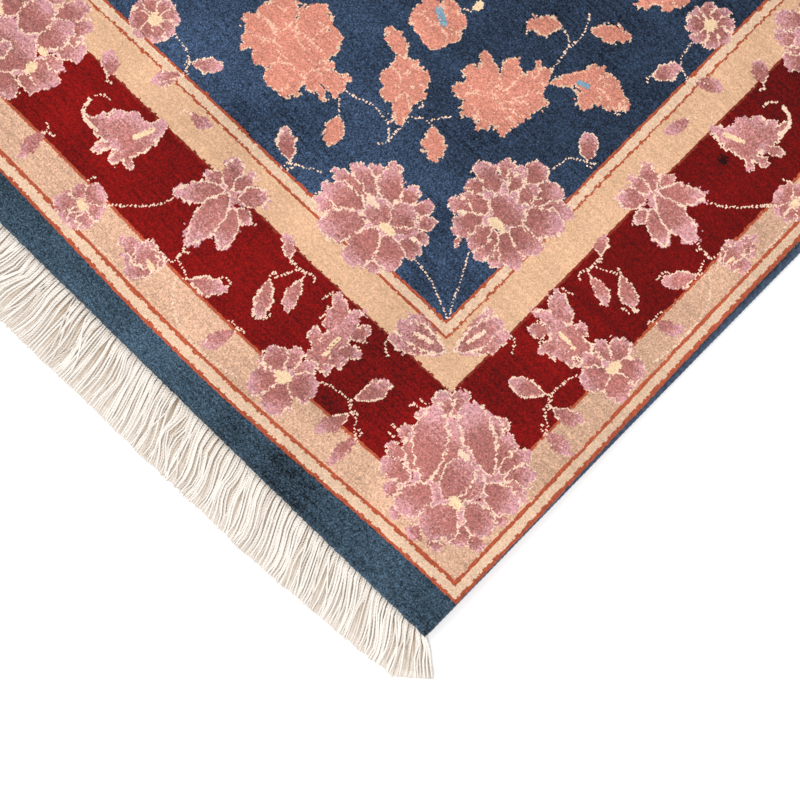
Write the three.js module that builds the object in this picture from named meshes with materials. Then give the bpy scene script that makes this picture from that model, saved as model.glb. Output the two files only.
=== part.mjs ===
// A tabriz rug lying flat: a knotted mat, an overcast selvedge down each long side and
// a warp fringe at each end. Millimetres, +Z up, the length along Y. The origin is on
// the floor under the middle. The rug looks the same when turned half round about Z, so
// the left selvedge and the far fringe are the right and near ones, turned.
import * as THREE from "three";

// Plan of the mat: the pattern in knots, with a plain band at each end
const KNOT = 1.75;
const PATTERN_KNOTS = { across: 451, along: 648 };
const END_BAND = 21.6;
const SIDE_MARGIN = 0.9; // from the pattern's outer line to the rug's side
const HALF_WIDTH = (PATTERN_KNOTS.across * KNOT) / 2 + SIDE_MARGIN;
const HALF_LENGTH = (PATTERN_KNOTS.along * KNOT) / 2 + END_BAND;
const SIDE_WAVE = { height: 0.6, reach: 140 };
const END_WAVE = { height: 2.2, reach: 160, start: 150 };

// Thickness of the mat: a web of warp and weft below, the pile above and over its edge
const WEB_HEIGHT = 2.5;
const PILE_LIP = 3.0; // underside of the pile where it hangs over the web
const PILE_SHOULDER = 5.8;
const PILE_TOP = 7.5;
const PILE_ROUND = 1.7;
const TOP_WAVE = { height: 0.3, across: 95, along: 120 };
const MAT_STEPS = { across: 22, along: 33 };

// Selvedge: a cord beside the web that sinks below the pile towards one corner
const GAP = 0.3;
const SELVEDGE = { width: 4.6, height: 4.4, tucked: 2.2, endGap: 1.5 };
const SELVEDGE_SECTION = [
  { out: 0, up: 0 },
  { out: 0.8, up: 0 },
  { out: 1, up: 0.25 },
  { out: 1, up: 0.6 },
  { out: 0.8, up: 0.92 },
  { out: 0.5, up: 1 },
  { out: 0.2, up: 0.9 },
  { out: 0, up: 0.6 },
];
const TUCK = { cover: 3.9, pileReach: 340, cordReach: 430 }; // mm from the corner

// Fringe: a strip under the pile's edge and the strands that are fused to it
const STRIP = { width: 2.3, height: 1.9 };
const STRANDS = 128;
const STRAND_ROOT = { width: 3.2, height: 1.6 };
const STRAND_TIP = { width: 2.3, height: 1.1 };
const STRAND_STEPS = 3;
const BEND = { root: 0.8, tip: 1.2 }; // share of the lean at the root and at the tip
const FRINGE_LEAN = [
  { x: -396, lean: -40, length: 31 },
  { x: -370, lean: -32, length: 37 },
  { x: -250, lean: -22, length: 38 },
  { x: 0, lean: -17, length: 38 },
  { x: 72, lean: -14, length: 38 },
  { x: 127, lean: 2, length: 38 },
  { x: 176, lean: 18, length: 38 },
  { x: 285, lean: 23, length: 38 },
  { x: 340, lean: 28, length: 37 },
  { x: 384, lean: 41, length: 37 },
  { x: 396, lean: 56, length: 27 },
];

const { lerp, degToRad, smoothstep, inverseLerp } = THREE.MathUtils;

// Edges of the mat on its right side and at its near end

function silhouetteX(y) {
  return HALF_WIDTH + SIDE_WAVE.height * Math.sin(y / SIDE_WAVE.reach);
}

function webSideX(y) {
  return silhouetteX(y) - SELVEDGE.width - GAP;
}

// 1 up to a distance from the near end, and 0 beyond a longer one
function fromNearEnd(y, full, none) {
  return 1 - smoothstep(y + HALF_LENGTH, full, none);
}

function pileSideX(y) {
  return webSideX(y) + TUCK.cover * fromNearEnd(y, 0, TUCK.pileReach);
}

function pileEndY(x) {
  return HALF_LENGTH + END_WAVE.height * Math.sin((x - END_WAVE.start) / END_WAVE.reach);
}

function webEndY(x) {
  return pileEndY(x) - STRIP.width - GAP;
}

// Levels of the mat from the floor up, each a ring round its edge
const LEVELS = [
  { sideX: webSideX, endY: webEndY, inset: 0, z: 0 },
  { sideX: webSideX, endY: webEndY, inset: 0, z: WEB_HEIGHT },
  { sideX: pileSideX, endY: pileEndY, inset: 0, z: PILE_LIP },
  { sideX: pileSideX, endY: pileEndY, inset: 0, z: PILE_SHOULDER },
];
const TOP_LEVEL = { sideX: pileSideX, endY: pileEndY, inset: PILE_ROUND, z: PILE_TOP };

// A point of a level, with u and v from -1 to 1 across and along the mat
function matPoint(level, u, v) {
  const x = u * HALF_WIDTH;
  const y = v * HALF_LENGTH;
  const right = level.sideX(y) - level.inset;
  const left = level.inset - level.sideX(-y);
  const far = level.endY(-x) - level.inset;
  const near = level.inset - level.endY(x);
  return new THREE.Vector3(
    lerp(left, right, (u + 1) / 2),
    lerp(near, far, (v + 1) / 2),
    level.z,
  );
}

// Height of the low waves of the pile's top, which die away towards the edges
function topWave(u, v) {
  const across = Math.cos((u * HALF_WIDTH) / TOP_WAVE.across);
  const along = Math.cos((v * HALF_LENGTH) / TOP_WAVE.along);
  return TOP_WAVE.height * across * along * (1 - u * u) * (1 - v * v);
}

// A body built up from points and the faces between them
class Body {
  constructor() {
    this.points = [];
    this.triangles = [];
  }

  point(x, y, z) {
    return this.points.push(new THREE.Vector3(x, y, z)) - 1;
  }

  // A face of 3 or more corners, anticlockwise from outside
  face(...corners) {
    for (let i = 1; i < corners.length - 1; i++)
      this.triangles.push(corners[0], corners[i], corners[i + 1]);
  }

  geometry() {
    const geometry = new THREE.BufferGeometry().setFromPoints(this.points);
    geometry.setIndex(this.triangles);
    geometry.computeVertexNormals();
    return geometry;
  }
}

function matGeometry() {
  const body = new Body();
  const { across, along } = MAT_STEPS;
  const place = (i, j) => [(2 * i) / across - 1, (2 * j) / along - 1];

  const top = [];
  for (let j = 0; j <= along; j++)
    for (let i = 0; i <= across; i++) {
      const { x, y, z } = matPoint(TOP_LEVEL, ...place(i, j));
      top.push(body.point(x, y, z + topWave(...place(i, j))));
    }
  const topAt = (i, j) => top[j * (across + 1) + i];
  for (let j = 0; j < along; j++)
    for (let i = 0; i < across; i++)
      body.face(topAt(i, j), topAt(i + 1, j), topAt(i + 1, j + 1), topAt(i, j + 1));

  // Places round the edge, anticlockwise from above
  const edge = [];
  for (let i = 0; i < across; i++) edge.push([i, 0]);
  for (let j = 0; j < along; j++) edge.push([across, j]);
  for (let i = across; i > 0; i--) edge.push([i, along]);
  for (let j = along; j > 0; j--) edge.push([0, j]);

  const rings = LEVELS.map((level) =>
    edge.map(([i, j]) => {
      const { x, y, z } = matPoint(level, ...place(i, j));
      return body.point(x, y, z);
    }),
  );
  rings.push(edge.map(([i, j]) => topAt(i, j)));
  for (let r = 0; r + 1 < rings.length; r++)
    for (let k = 0; k < edge.length; k++) {
      const next = (k + 1) % edge.length;
      body.face(rings[r][k], rings[r][next], rings[r + 1][next], rings[r + 1][k]);
    }

  const floor = rings[0];
  const outline = floor.map((n) => new THREE.Vector2(body.points[n].x, body.points[n].y));
  for (const [a, b, c] of THREE.ShapeUtils.triangulateShape(outline, []))
    body.face(floor[c], floor[b], floor[a]);
  return body.geometry();
}

// The right selvedge, from the near end to the far end
function selvedgeGeometry() {
  const body = new Body();
  const reach = HALF_LENGTH - SELVEDGE.endGap;
  const steps = MAT_STEPS.along;
  const rings = [];
  for (let k = 0; k <= steps; k++) {
    const y = lerp(-reach, reach, k / steps);
    const inner = webSideX(y) + GAP;
    const tuck = fromNearEnd(y, TUCK.pileReach, TUCK.cordReach);
    const height = lerp(SELVEDGE.height, SELVEDGE.tucked, tuck);
    rings.push(
      SELVEDGE_SECTION.map(({ out, up }) =>
        body.point(inner + out * SELVEDGE.width, y, up * height),
      ),
    );
  }
  for (let k = 0; k < steps; k++)
    for (let i = 0; i < SELVEDGE_SECTION.length; i++) {
      const next = (i + 1) % SELVEDGE_SECTION.length;
      body.face(rings[k][i], rings[k + 1][i], rings[k + 1][next], rings[k][next]);
    }
  body.face(...rings[0]);
  body.face(...rings[steps].reverse());
  return body.geometry();
}

// Lean in degrees towards +X and length of the strand whose root is at x
function strandAt(x) {
  const k = Math.max(1, FRINGE_LEAN.findIndex((row) => row.x > x));
  const from = FRINGE_LEAN[k - 1];
  const to = FRINGE_LEAN[k];
  const t = inverseLerp(from.x, to.x, x);
  return { lean: lerp(from.lean, to.lean, t), length: lerp(from.length, to.length, t) };
}

// The corners of a strand's section: two on the floor and one on top of the strand
function strandSection(body, centre, across, t) {
  const half = lerp(STRAND_ROOT.width, STRAND_TIP.width, t) / 2;
  const { x, y } = centre;
  return [
    body.point(x - across.x * half, y - across.y * half, 0),
    body.point(x + across.x * half, y + across.y * half, 0),
    body.point(x, y, lerp(STRAND_ROOT.height, STRAND_TIP.height, t)),
  ];
}

// A strand from its root in the strip's front to its tip; returns the root's corners
function addStrand(body, root, front) {
  const { lean, length } = strandAt(root.x);
  const centre = root.clone();
  const rings = [strandSection(body, centre, front, 0)];
  for (let step = 0; step < STRAND_STEPS; step++) {
    const heading = degToRad(lean * lerp(BEND.root, BEND.tip, (step + 0.5) / STRAND_STEPS));
    const along = new THREE.Vector2(Math.sin(heading), -Math.cos(heading));
    centre.addScaledVector(along, length / STRAND_STEPS);
    const across = new THREE.Vector2(-along.y, along.x);
    rings.push(strandSection(body, centre, across, (step + 1) / STRAND_STEPS));
  }
  for (let step = 0; step < STRAND_STEPS; step++)
    for (let i = 0; i < 3; i++) {
      const next = (i + 1) % 3;
      body.face(rings[step][i], rings[step][next], rings[step + 1][next], rings[step + 1][i]);
    }
  body.face(...rings[STRAND_STEPS]);
  return rings[0];
}

// The near fringe: the strip's stations lie between the strands, each with its back and
// front corners on the floor and its front and back corners on top
function fringeGeometry() {
  const body = new Body();
  const left = -webSideX(HALF_LENGTH);
  const right = webSideX(-HALF_LENGTH);
  const stations = [];
  for (let k = 0; k <= STRANDS; k++) {
    const x = lerp(left, right, k / STRANDS);
    const front = -pileEndY(x);
    const back = front + STRIP.width;
    stations.push({
      plan: new THREE.Vector2(x, front),
      backFloor: body.point(x, back, 0),
      frontFloor: body.point(x, front, 0),
      frontTop: body.point(x, front, STRIP.height),
      backTop: body.point(x, back, STRIP.height),
    });
  }
  for (let k = 0; k < STRANDS; k++) {
    const a = stations[k];
    const b = stations[k + 1];
    const root = a.plan.clone().lerp(b.plan, 0.5);
    const front = b.plan.clone().sub(a.plan).normalize();
    const [p, q, top] = addStrand(body, root, front);
    body.face(a.frontFloor, p, a.frontTop);
    body.face(p, top, a.frontTop);
    body.face(top, b.frontTop, a.frontTop);
    body.face(top, q, b.frontTop);
    body.face(q, b.frontFloor, b.frontTop);
    body.face(a.frontFloor, a.backFloor, p);
    body.face(p, a.backFloor, b.backFloor);
    body.face(p, b.backFloor, q);
    body.face(q, b.backFloor, b.frontFloor);
    body.face(a.frontTop, b.frontTop, b.backTop, a.backTop);
    body.face(b.backFloor, a.backFloor, a.backTop, b.backTop);
  }
  const first = stations[0];
  const last = stations[STRANDS];
  body.face(first.backFloor, first.frontFloor, first.frontTop, first.backTop);
  body.face(last.frontFloor, last.backFloor, last.backTop, last.frontTop);
  return body.geometry();
}

const wool = new THREE.MeshStandardMaterial({ color: 0x9c5a52, roughness: 0.95, metalness: 0 });
const navyWool = new THREE.MeshStandardMaterial({ color: 0x28415f, roughness: 0.9, metalness: 0 });
const cotton = new THREE.MeshStandardMaterial({ color: 0xf0e6da, roughness: 0.9, metalness: 0 });

// A piece of the rug, as built or turned half round
function piece(name, geometry, material, turned = false) {
  const mesh = new THREE.Mesh(geometry, material);
  mesh.name = name;
  mesh.rotation.z = turned ? Math.PI : 0;
  return mesh;
}

const selvedge = selvedgeGeometry();
const fringe = fringeGeometry();
const rug = new THREE.Group();
rug.add(
  piece("rug_mat", matGeometry(), wool),
  piece("selvedge_right", selvedge, navyWool),
  piece("selvedge_left", selvedge, navyWool, true),
  piece("fringe_near", fringe, cotton),
  piece("fringe_far", fringe, cotton, true),
);

export default rug;
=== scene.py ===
# %% [markdown]
# # A tabriz rug, tuft by tuft
# The rug lies flat. Its solid model gives the size and the outline, and this file gives
# the looks: a pile of 1.5 million tufts in the colours of their yarns, four to a facet,
# the web with its back, the overcast side edges and the cotton fringes. The pattern is
# worked out as a weaver's chart, one cell to a tuft, from formulas for petals, leaves
# and stems. Arrays hold millimetres and turn into metres when a mesh is made.

# %% Load the solid model
import math

import bpy
import numpy as np
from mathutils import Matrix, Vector


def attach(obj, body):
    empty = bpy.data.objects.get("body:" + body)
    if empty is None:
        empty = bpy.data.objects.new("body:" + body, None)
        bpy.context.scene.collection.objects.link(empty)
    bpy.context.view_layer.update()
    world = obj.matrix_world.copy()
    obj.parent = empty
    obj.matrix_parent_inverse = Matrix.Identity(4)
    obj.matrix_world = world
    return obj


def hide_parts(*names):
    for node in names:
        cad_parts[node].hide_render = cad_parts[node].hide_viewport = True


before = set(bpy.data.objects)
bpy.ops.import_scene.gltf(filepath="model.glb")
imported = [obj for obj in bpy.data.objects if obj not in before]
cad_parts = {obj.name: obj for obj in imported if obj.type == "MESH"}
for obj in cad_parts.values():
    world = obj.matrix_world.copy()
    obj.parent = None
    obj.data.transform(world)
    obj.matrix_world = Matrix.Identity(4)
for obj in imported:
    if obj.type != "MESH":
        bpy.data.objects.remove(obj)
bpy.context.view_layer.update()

# %% [markdown]
# ## Sizes
# A weaver's design is drawn on squared paper, a square to a knot, and the pattern is
# counted in those squares here. The cut ends of a knot open into tufts, a little over two
# across and two along, and the tuft is the smallest thing that has a colour of its own.

# %% Knots, tufts and bands
SQUARE = 1.75  # mm from one knot to the next
SQUARES_ACROSS, SQUARES_ALONG = 451, 648
TUFTS_ACROSS, TUFTS_ALONG, BAND_ROWS = 1050, 1416, 26
FACET = 2  # tufts along each side of a facet of the pile
PATTERN_X, PATTERN_Y = SQUARES_ACROSS * SQUARE / 2, SQUARES_ALONG * SQUARE / 2
TUFT_X, TUFT_Y = 2 * PATTERN_X / TUFTS_ACROSS, 2 * PATTERN_Y / TUFTS_ALONG
END_BAND, SIDE_MARGIN = 21.6, 0.9
HALF_WIDTH = PATTERN_X + SIDE_MARGIN
HALF_LENGTH = PATTERN_Y + END_BAND
print("tuft:", round(TUFT_X, 2), "by", round(TUFT_Y, 2), "mm")

# %% [markdown]
# The edges repeat the sizes of the solids, so that each fine piece can follow its solid
# exactly. The rug looks the same when it is turned half round about Z, so the edges are
# worked out for the right side and the near end alone.

# %% Heights and edges
WEB_TOP, PILE_FLOOR, SHOULDER, PILE_TOP = 2.5, 2.6, 5.8, 7.5
SELVEDGE_WIDTH, GAP, STRIP_WIDTH = 4.6, 0.3, 2.3
COVER, PILE_REACH, CORD_REACH = 3.9, 340, 430  # the pile over the selvedge, and how far along
SIDE_WAVE, SIDE_SPAN = 0.6, 140
END_WAVE, END_SPAN, END_SHIFT = 2.2, 160, 150


def smooth(x, low, high):
    """0 below low, 1 above high, and 3t^2 - 2t^3 between them."""
    t = np.clip((np.asarray(x, float) - low) / (high - low), 0, 1)
    return t * t * (3 - 2 * t)


def web_side(y):
    """Where the web ends on the right: a straight line with a low sine wave along y."""
    return HALF_WIDTH + SIDE_WAVE * np.sin(y / SIDE_SPAN) - SELVEDGE_WIDTH - GAP


def pile_side(y):
    """Where the pile ends: it covers the selvedge at the near corner, then draws back."""
    return web_side(y) + COVER * (1 - smooth(y + HALF_LENGTH, 0, PILE_REACH))


def pile_end(x):
    """How far the near end lies from the middle: a constant and a slow sine along x."""
    return HALF_LENGTH + END_WAVE * np.sin((x - END_SHIFT) / END_SPAN)


def web_end(x):
    """The web stops where the strip that holds the fringe begins."""
    return pile_end(x) - STRIP_WIDTH - GAP


print("web:", round(2 * web_side(0)), "by", round(2 * web_end(0)), "mm")

# %% [markdown]
# ## Seeded noise
# Wool takes dye unevenly and no two tufts are alike. One seeded generator gives the
# grain of single tufts, and soft clouds come from a coarse grid of random numbers that
# is read with smooth interpolation.

# %% Noise helpers
rng = np.random.default_rng(40)


def clouds(shape, cells, seed):
    """Smooth noise from 0 to 1: random values on a coarse grid, blended with a cubic
    step between the four nearest."""
    source = np.random.default_rng(seed).random((cells[0] + 2, cells[1] + 2))
    r = np.linspace(0, cells[0], shape[0], endpoint=False)
    c = np.linspace(0, cells[1], shape[1], endpoint=False)
    r0, c0 = r.astype(int), c.astype(int)
    fr = smooth(r - r0, 0, 1)[:, None]
    fc = smooth(c - c0, 0, 1)[None]
    low = source[np.ix_(r0, c0)] * (1 - fc) + source[np.ix_(r0, c0 + 1)] * fc
    high = source[np.ix_(r0 + 1, c0)] * (1 - fc) + source[np.ix_(r0 + 1, c0 + 1)] * fc
    return low * (1 - fr) + high * fr


# %% [markdown]
# ## Yarns
# Sixteen dyed yarns make the whole pattern. The numbers are plain 8-bit colours as seen
# on the rug; they turn into linear light when the tufts are coloured.

# %% The yarn palette
YARNS = {  # colour, how much single tufts differ, and how much fibres within a tuft do
    "navy": ((45, 60, 82), 0.30, 5.0),
    "band": ((55, 73, 88), 0.34, 5.0),
    "red": ((114, 10, 8), 0.28, 2.4),
    "umber": ((128, 48, 33), 0.15, 1.8),
    "rust": ((172, 82, 55), 0.12, 1.6),
    "cream": ((222, 188, 160), 0.08, 1.2),
    "beige": ((210, 168, 141), 0.14, 1.9),
    "gold": ((217, 174, 140), 0.09, 1.2),
    "rose": ((168, 105, 99), 0.18, 2.0),
    "mauve": ((188, 131, 127), 0.17, 1.8),
    "lilac": ((206, 150, 156), 0.15, 1.6),
    "vein": ((236, 202, 178), 0.07, 1.2),
    "salmon": ((208, 136, 117), 0.14, 1.8),
    "peach": ((234, 182, 158), 0.08, 1.4),
    "straw": ((236, 204, 166), 0.06, 1.2),
    "sky": ((124, 160, 178), 0.10, 1.6),
}
CODE = {name: number for number, name in enumerate(YARNS)}
SILK = [CODE[name] for name in ("rose", "mauve", "lilac", "vein", "straw")]
DARK = [CODE[name] for name in ("navy", "red")]
print(len(YARNS), "yarns, of silk:", len(SILK))

# %% [markdown]
# ## The chart
# The pattern is the same in all four quarters, so one quarter is charted and mirrored.
# A quarter has 525 columns and 708 rows of tufts. Five layers of noise lie over it: two
# of salt and pepper, two of soft clouds, and a ragged one that tears lines and petals.

# %% The quarter and its noise
QUARTER = (TUFTS_ALONG // 2, TUFTS_ACROSS // 2)
rows, cols = np.indices(QUARTER)
U = (cols + 0.5) * TUFT_X / SQUARE  # squares in from the side
V = (rows + 0.5) * TUFT_Y / SQUARE  # squares in from the end
GRIT, SALT = rng.random(QUARTER), rng.random(QUARTER)
DRIFT = clouds(QUARTER, (100, 70), 5)
BLUR = clouds(QUARTER, (60, 44), 6) - 0.5
RAGGED = 0.6 * clouds(QUARTER, (190, 141), 7) + 0.75 * clouds(QUARTER, (354, 262), 8) - 0.675
print("quarter:", QUARTER, "tufts,", round(U.max()), "by", round(V.max()), "squares")

# %% [markdown]
# Plain bands frame the field. A little noise on the distance from the edge makes their
# lines as toothed as knotted lines are. The bands next to the field are a little wider
# than drawn, on the side all along and at the end only towards its middle.

# %% Bands of the border
BANDS = [  # squares from the edge at which each band ends
    ("rust", 1.1),
    ("cream", 3.9),
    ("rust", 5.05),
    ("beige", 16),
    ("rust", 16.9),
    ("red", 46.1),
    ("umber", 46.8),
    ("gold", 57.7),
    ("rust", 58.5),
    ("cream", 61.2),
    ("rust", 62.1),
]
TOOTH, TOOTH_GRIT = 0.42, 0.1
side_excess = 1.4 * smooth(U, 48, 57)
end_excess = 0.7 * smooth(V, 48, 57) * smooth(U, 130, 170)
tooth = TOOTH * RAGGED + TOOTH_GRIT * (GRIT - 0.5)
depth_in = np.minimum(U - side_excess, V - end_excess) + tooth
chart = np.full(QUARTER, CODE["navy"])
for yarn, end in reversed(BANDS):
    chart[depth_in < end] = CODE[yarn]
print("field:", round(100 * (chart == CODE["navy"]).mean()), "% of the quarter")

# %% [markdown]
# ## Petals
# Every flower and leaf on the rug is built from one shape: a petal between a base and a
# tip. Its half width is a power of a sine along its axis, which gives round, pointed or
# broad-shouldered petals, and the axis may bend. A motif is a list of petals, the hindmost
# first, in the coordinates of the run that it belongs to, so one list works on the end
# border and on the side border alike.


# %% The run
class Run:
    """The chart in a run's own coordinates: s along the run and d into the rug."""

    def __init__(self, s, d):
        self.s, self.d = s.ravel(), d.ravel()
        self.cells = chart.reshape(-1)
        self.grit, self.salt, self.ragged = GRIT.ravel(), SALT.ravel(), RAGGED.ravel()
        self.drift, self.blur = DRIFT.ravel(), BLUR.ravel()

    def near(self, points, reach):
        """The cells within reach of the box round the points."""
        points = np.asarray(points, float)
        (s0, d0), (s1, d1) = points.min(0) - reach, points.max(0) + reach
        return np.flatnonzero((self.s > s0) & (self.s < s1) & (self.d > d0) & (self.d < d1))


# %% The petal formula
TORN_AT_BASE, TORN_MORE_AT_TIP = 1.0, 2.4
OUTSIDE = -1  # the depth of a cell that lies before the base or past the tip


def petal(run, here, base, tip, width, full=0.55, skew=1.15, bend=0.0, torn=1.0):
    """Depth in squares inside a petal, and the share t of its length. The half width is
    width / 2 times sin(pi t^skew)^full, the axis bends sideways by bend 4t(1 - t), and
    the edge is torn by the ragged noise, most of all at the tip."""
    base, tip = np.asarray(base, float), np.asarray(tip, float)
    length = np.hypot(*(tip - base))
    along = (tip - base) / length
    s, d = run.s[here] - base[0], run.d[here] - base[1]
    t = (s * along[0] + d * along[1]) / length
    inside = (t > 0) & (t < 1)
    t = np.clip(t, 0, 1)
    off = np.abs(d * along[0] - s * along[1] - bend * 4 * t * (1 - t))
    half = width / 2 * np.sin(np.pi * t**skew) ** full
    depth = np.minimum(half - off, (1 - t) * length + 0.5)
    tear = torn * (TORN_AT_BASE + TORN_MORE_AT_TIP * t) * run.ragged[here]
    return np.where(inside, depth + tear, OUTSIDE), t


def merged(run, petals, **shape):
    """The cells near a list of petals, their depth in the nearest petal, and its t. Each
    petal is base s, base d, tip s, tip d and width."""
    petals = np.asarray(petals, float)
    here = run.near(petals[:, :4].reshape(-1, 2), 8)
    depth, share = np.full(len(here), float(OUTSIDE)), np.zeros(len(here))
    for s0, d0, s1, d1, width in petals:
        deep, t = petal(run, here, (s0, d0), (s1, d1), width, **shape)
        share = np.where(deep > depth, t, share)
        depth = np.maximum(depth, deep)
    return here, depth, share


# %% [markdown]
# Silk petals run from rose through mauve to lilac. The three meet in a dither, as the
# weaver mixes them, and a light line is knotted round a petal: nearly always where it
# lies on another, often on a dark ground, and seldom on a pale one.

# %% Painting in silk
OUTLINED_ON_SILK, OUTLINED_ON_DARK, OUTLINED_ON_PALE = 0.85, 0.55, 0.2  # chances
OUTLINE = 0.62  # squares wide
TIP_TONE, RIM_TONE, BLUR_TONE, SALT_TONE = 1.7, 0.35, 1.1, 1.4
MAUVE_ABOVE, LILAC_ABOVE = 0.62, 1.5  # tones


def silk(run, petals, halo=1.0, **shape):
    """Paints one shape of merged silk petals. The tone rises with t to the tip, towards
    the rim, and with two layers of noise, and its steps are rose, mauve and lilac."""
    here, depth, t = merged(run, petals, **shape)
    grit, under = run.grit[here], run.cells[here]
    chance = np.where(np.isin(under, DARK), OUTLINED_ON_DARK, OUTLINED_ON_PALE)
    chance = np.where(np.isin(under, SILK), OUTLINED_ON_SILK, chance)
    lined = run.drift[here] * 0.6 + grit * 0.4 < chance * halo
    tone = TIP_TONE * smooth(t, 0.35, 1) + RIM_TONE * smooth(depth, 2.4, 0.8)
    tone = tone + BLUR_TONE * run.blur[here]
    tone = tone + SALT_TONE * (run.salt[here] - 0.5)
    paint = np.where(tone > MAUVE_ABOVE, CODE["mauve"], CODE["rose"])
    paint = np.where(tone > LILAC_ABOVE, CODE["lilac"], paint)
    paint = np.where((depth < OUTLINE) & lined, CODE["vein"], paint)
    run.cells[here] = np.where(depth > 0, paint, under)


def flower(run, petals, broad=1.12, **shape):
    """Paints silk petals one over the other, the hindmost first, on a pale ground that
    fills what lies between them."""
    petals = np.asarray(petals, float) * (1, 1, 1, 1, broad)
    here, depth, _ = merged(run, petals * (1, 1, 1, 1, 1.15), full=0.3, skew=0.9)
    run.cells[here] = np.where(depth > 0.9, CODE["lilac"], run.cells[here])
    for one in petals:
        silk(run, [one], **shape)


def spot(run, centre, radii, yarn="straw"):
    """Paints a ragged oval: where the distance in radii, plus noise, is less than 1."""
    here = run.near([centre], max(radii) + 2)
    reach = np.hypot((run.s[here] - centre[0]) / radii[0], (run.d[here] - centre[1]) / radii[1])
    hit = reach + 0.5 * run.ragged[here] + 0.3 * (run.grit[here] - 0.5) < 1
    run.cells[here] = np.where(hit, CODE[yarn], run.cells[here])


# %% [markdown]
# ## Stems
# A stem is a dotted line about one knot wide. The curve through its points is a
# Catmull-Rom spline, and a tuft belongs to it if its middle lies near the curve and the
# length along the curve falls on a dot and not between two of them.

# %% Stems and curls
DOT_SHARE = 0.6  # of the way from one dot to the next
DOTTED_BELOW = 0.5  # a thicker line has no dots


def spline(points, steps=10):
    """A smooth curve through the points: each span is the Catmull-Rom cubic of its four
    neighbours."""
    p = np.asarray(points, float)
    p = np.vstack([2 * p[0] - p[1], p, 2 * p[-1] - p[-2]])
    t = np.linspace(0, 1, steps, endpoint=False)[:, None]
    spans = [
        0.5 * (2 * b + (c - a) * t + (2 * a - 5 * b + 4 * c - d) * t**2
               + (3 * b - a - 3 * c + d) * t**3)
        for a, b, c, d in zip(p, p[1:], p[2:], p[3:])
    ]
    return np.vstack([*spans, p[-2]])


def stem(run, points, yarn="vein", thick=0.36, skip=0.04, dots=1.15):
    """Paints the tufts within thick of the curve, but for a share that is skipped and for
    what lies between the dots."""
    curve = spline(points)
    here = run.near(curve, 2)
    place = np.stack([run.s[here], run.d[here]], 1)[:, None]
    a, b = curve[:-1], curve[1:]
    t = ((place - a) * (b - a)).sum(2) / ((b - a) ** 2).sum(1)
    t = np.clip(t, 0, 1)
    gap = np.linalg.norm(place - a - t[..., None] * (b - a), axis=2)
    closest = gap.argmin(1)[:, None]
    length = np.linalg.norm(b - a, axis=1)
    along = np.take_along_axis(np.cumsum(length) - length + t * length, closest, 1)[:, 0]
    dotted = (along / dots % 1 < DOT_SHARE) | (thick > DOTTED_BELOW)
    hit = (gap.min(1) < thick) & (run.grit[here] > skip) & dotted
    run.cells[here] = np.where(hit, CODE[yarn], run.cells[here])


def small_leaf(run, base, tip, width=4.6, curl=1):
    """A small silk leaf with a stalk that hooks to one side at its base."""
    base, tip = np.asarray(base, float), np.asarray(tip, float)
    along = (tip - base) / np.hypot(*(tip - base))
    side = np.array([-along[1], along[0]]) * curl
    stem(run, [base + along, base - along * 1.4, base - along * 2 + side * 1.6])
    silk(run, [(*base, *tip, width)], full=0.7, bend=0.4 * curl, torn=0.65, halo=1.25)


# %% [markdown]
# ## Flowers of the border
# The palmette lies in the corner and, smaller, in the middle of each side. Its outer
# petals fan out from the heart, two long ones and a broad one lie on top. The rosette has
# a column of toothed lobes that reaches into the guard band, and the lily, the half
# flower, the small rosette and the curled leaf follow along the run.

# %% Petals of the border flowers
CORNER_PALMETTE = [
    (27.5, 46, 29, 52.5, 5), (33, 44, 34, 50.5, 6.5), (24, 41, 32, 50.5, 7),
    (20.5, 38, 24.5, 50, 8.5), (18.5, 38, 16, 50.3, 6), (16, 38, 9.5, 46, 7),
    (16, 37, 5.8, 37.3, 5.5), (42, 41, 44, 50.5, 7.5), (42, 40, 49.8, 44.5, 7),
    (42, 35, 50.2, 36, 6.5), (42, 27.5, 50.5, 28.5, 6), (42, 22, 49.8, 21.5, 5.5),
    (36, 17.5, 47.8, 17, 6.5), (36.5, 12.8, 41.3, 11.3, 5.5), (31.5, 10.5, 33, 6, 4),
    (24.3, 10, 24.3, 4.8, 4.5), (18, 11, 16, 6.8, 4), (15.5, 18, 10.5, 13, 6.5),
    (12, 19, 5.3, 15.8, 4), (10.5, 28.5, 5.8, 27.3, 4), (19, 24, 7, 22, 9),
    (19, 32.5, 6, 33.3, 9), (31, 21, 31.5, 8, 10), (21.5, 21, 20.5, 8, 11.5),
    (37, 20.5, 46.5, 31, 7), (30.5, 22, 40.5, 42, 9.5), (19, 36, 41.5, 48.5, 9),
    (32.5, 20, 47.8, 41.5, 10),
    (22, 22, 22.5, 35, 8), (25, 20.5, 28, 35, 9.5),
]
CORNER_GROUND = [((32, 33), (11, 10)), ((19.5, 34), (5, 7)), ((27, 21), (10, 4))]
SIDE_PALMETTE = [
    (219, 24, 209, 18, 6.5), (213, 25, 204.5, 26.5, 5.5), (214, 32, 202, 31, 8.5),
    (212, 36, 203, 37.2, 4.5), (213, 41, 202.5, 45, 8.5), (209.5, 43, 208, 50, 4),
    (213, 46, 207.5, 54, 6), (218, 46, 213.5, 58, 7.5), (226, 46, 222, 55, 7),
    (221, 28, 214, 34, 8), (215, 36, 213.3, 50, 8.5), (222, 36, 221.5, 50, 8),
    (228, 33, 228, 43, 8), (219, 22, 218.5, 37.5, 12), (225.6, 20, 225.6, 33, 10),
]
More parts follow.
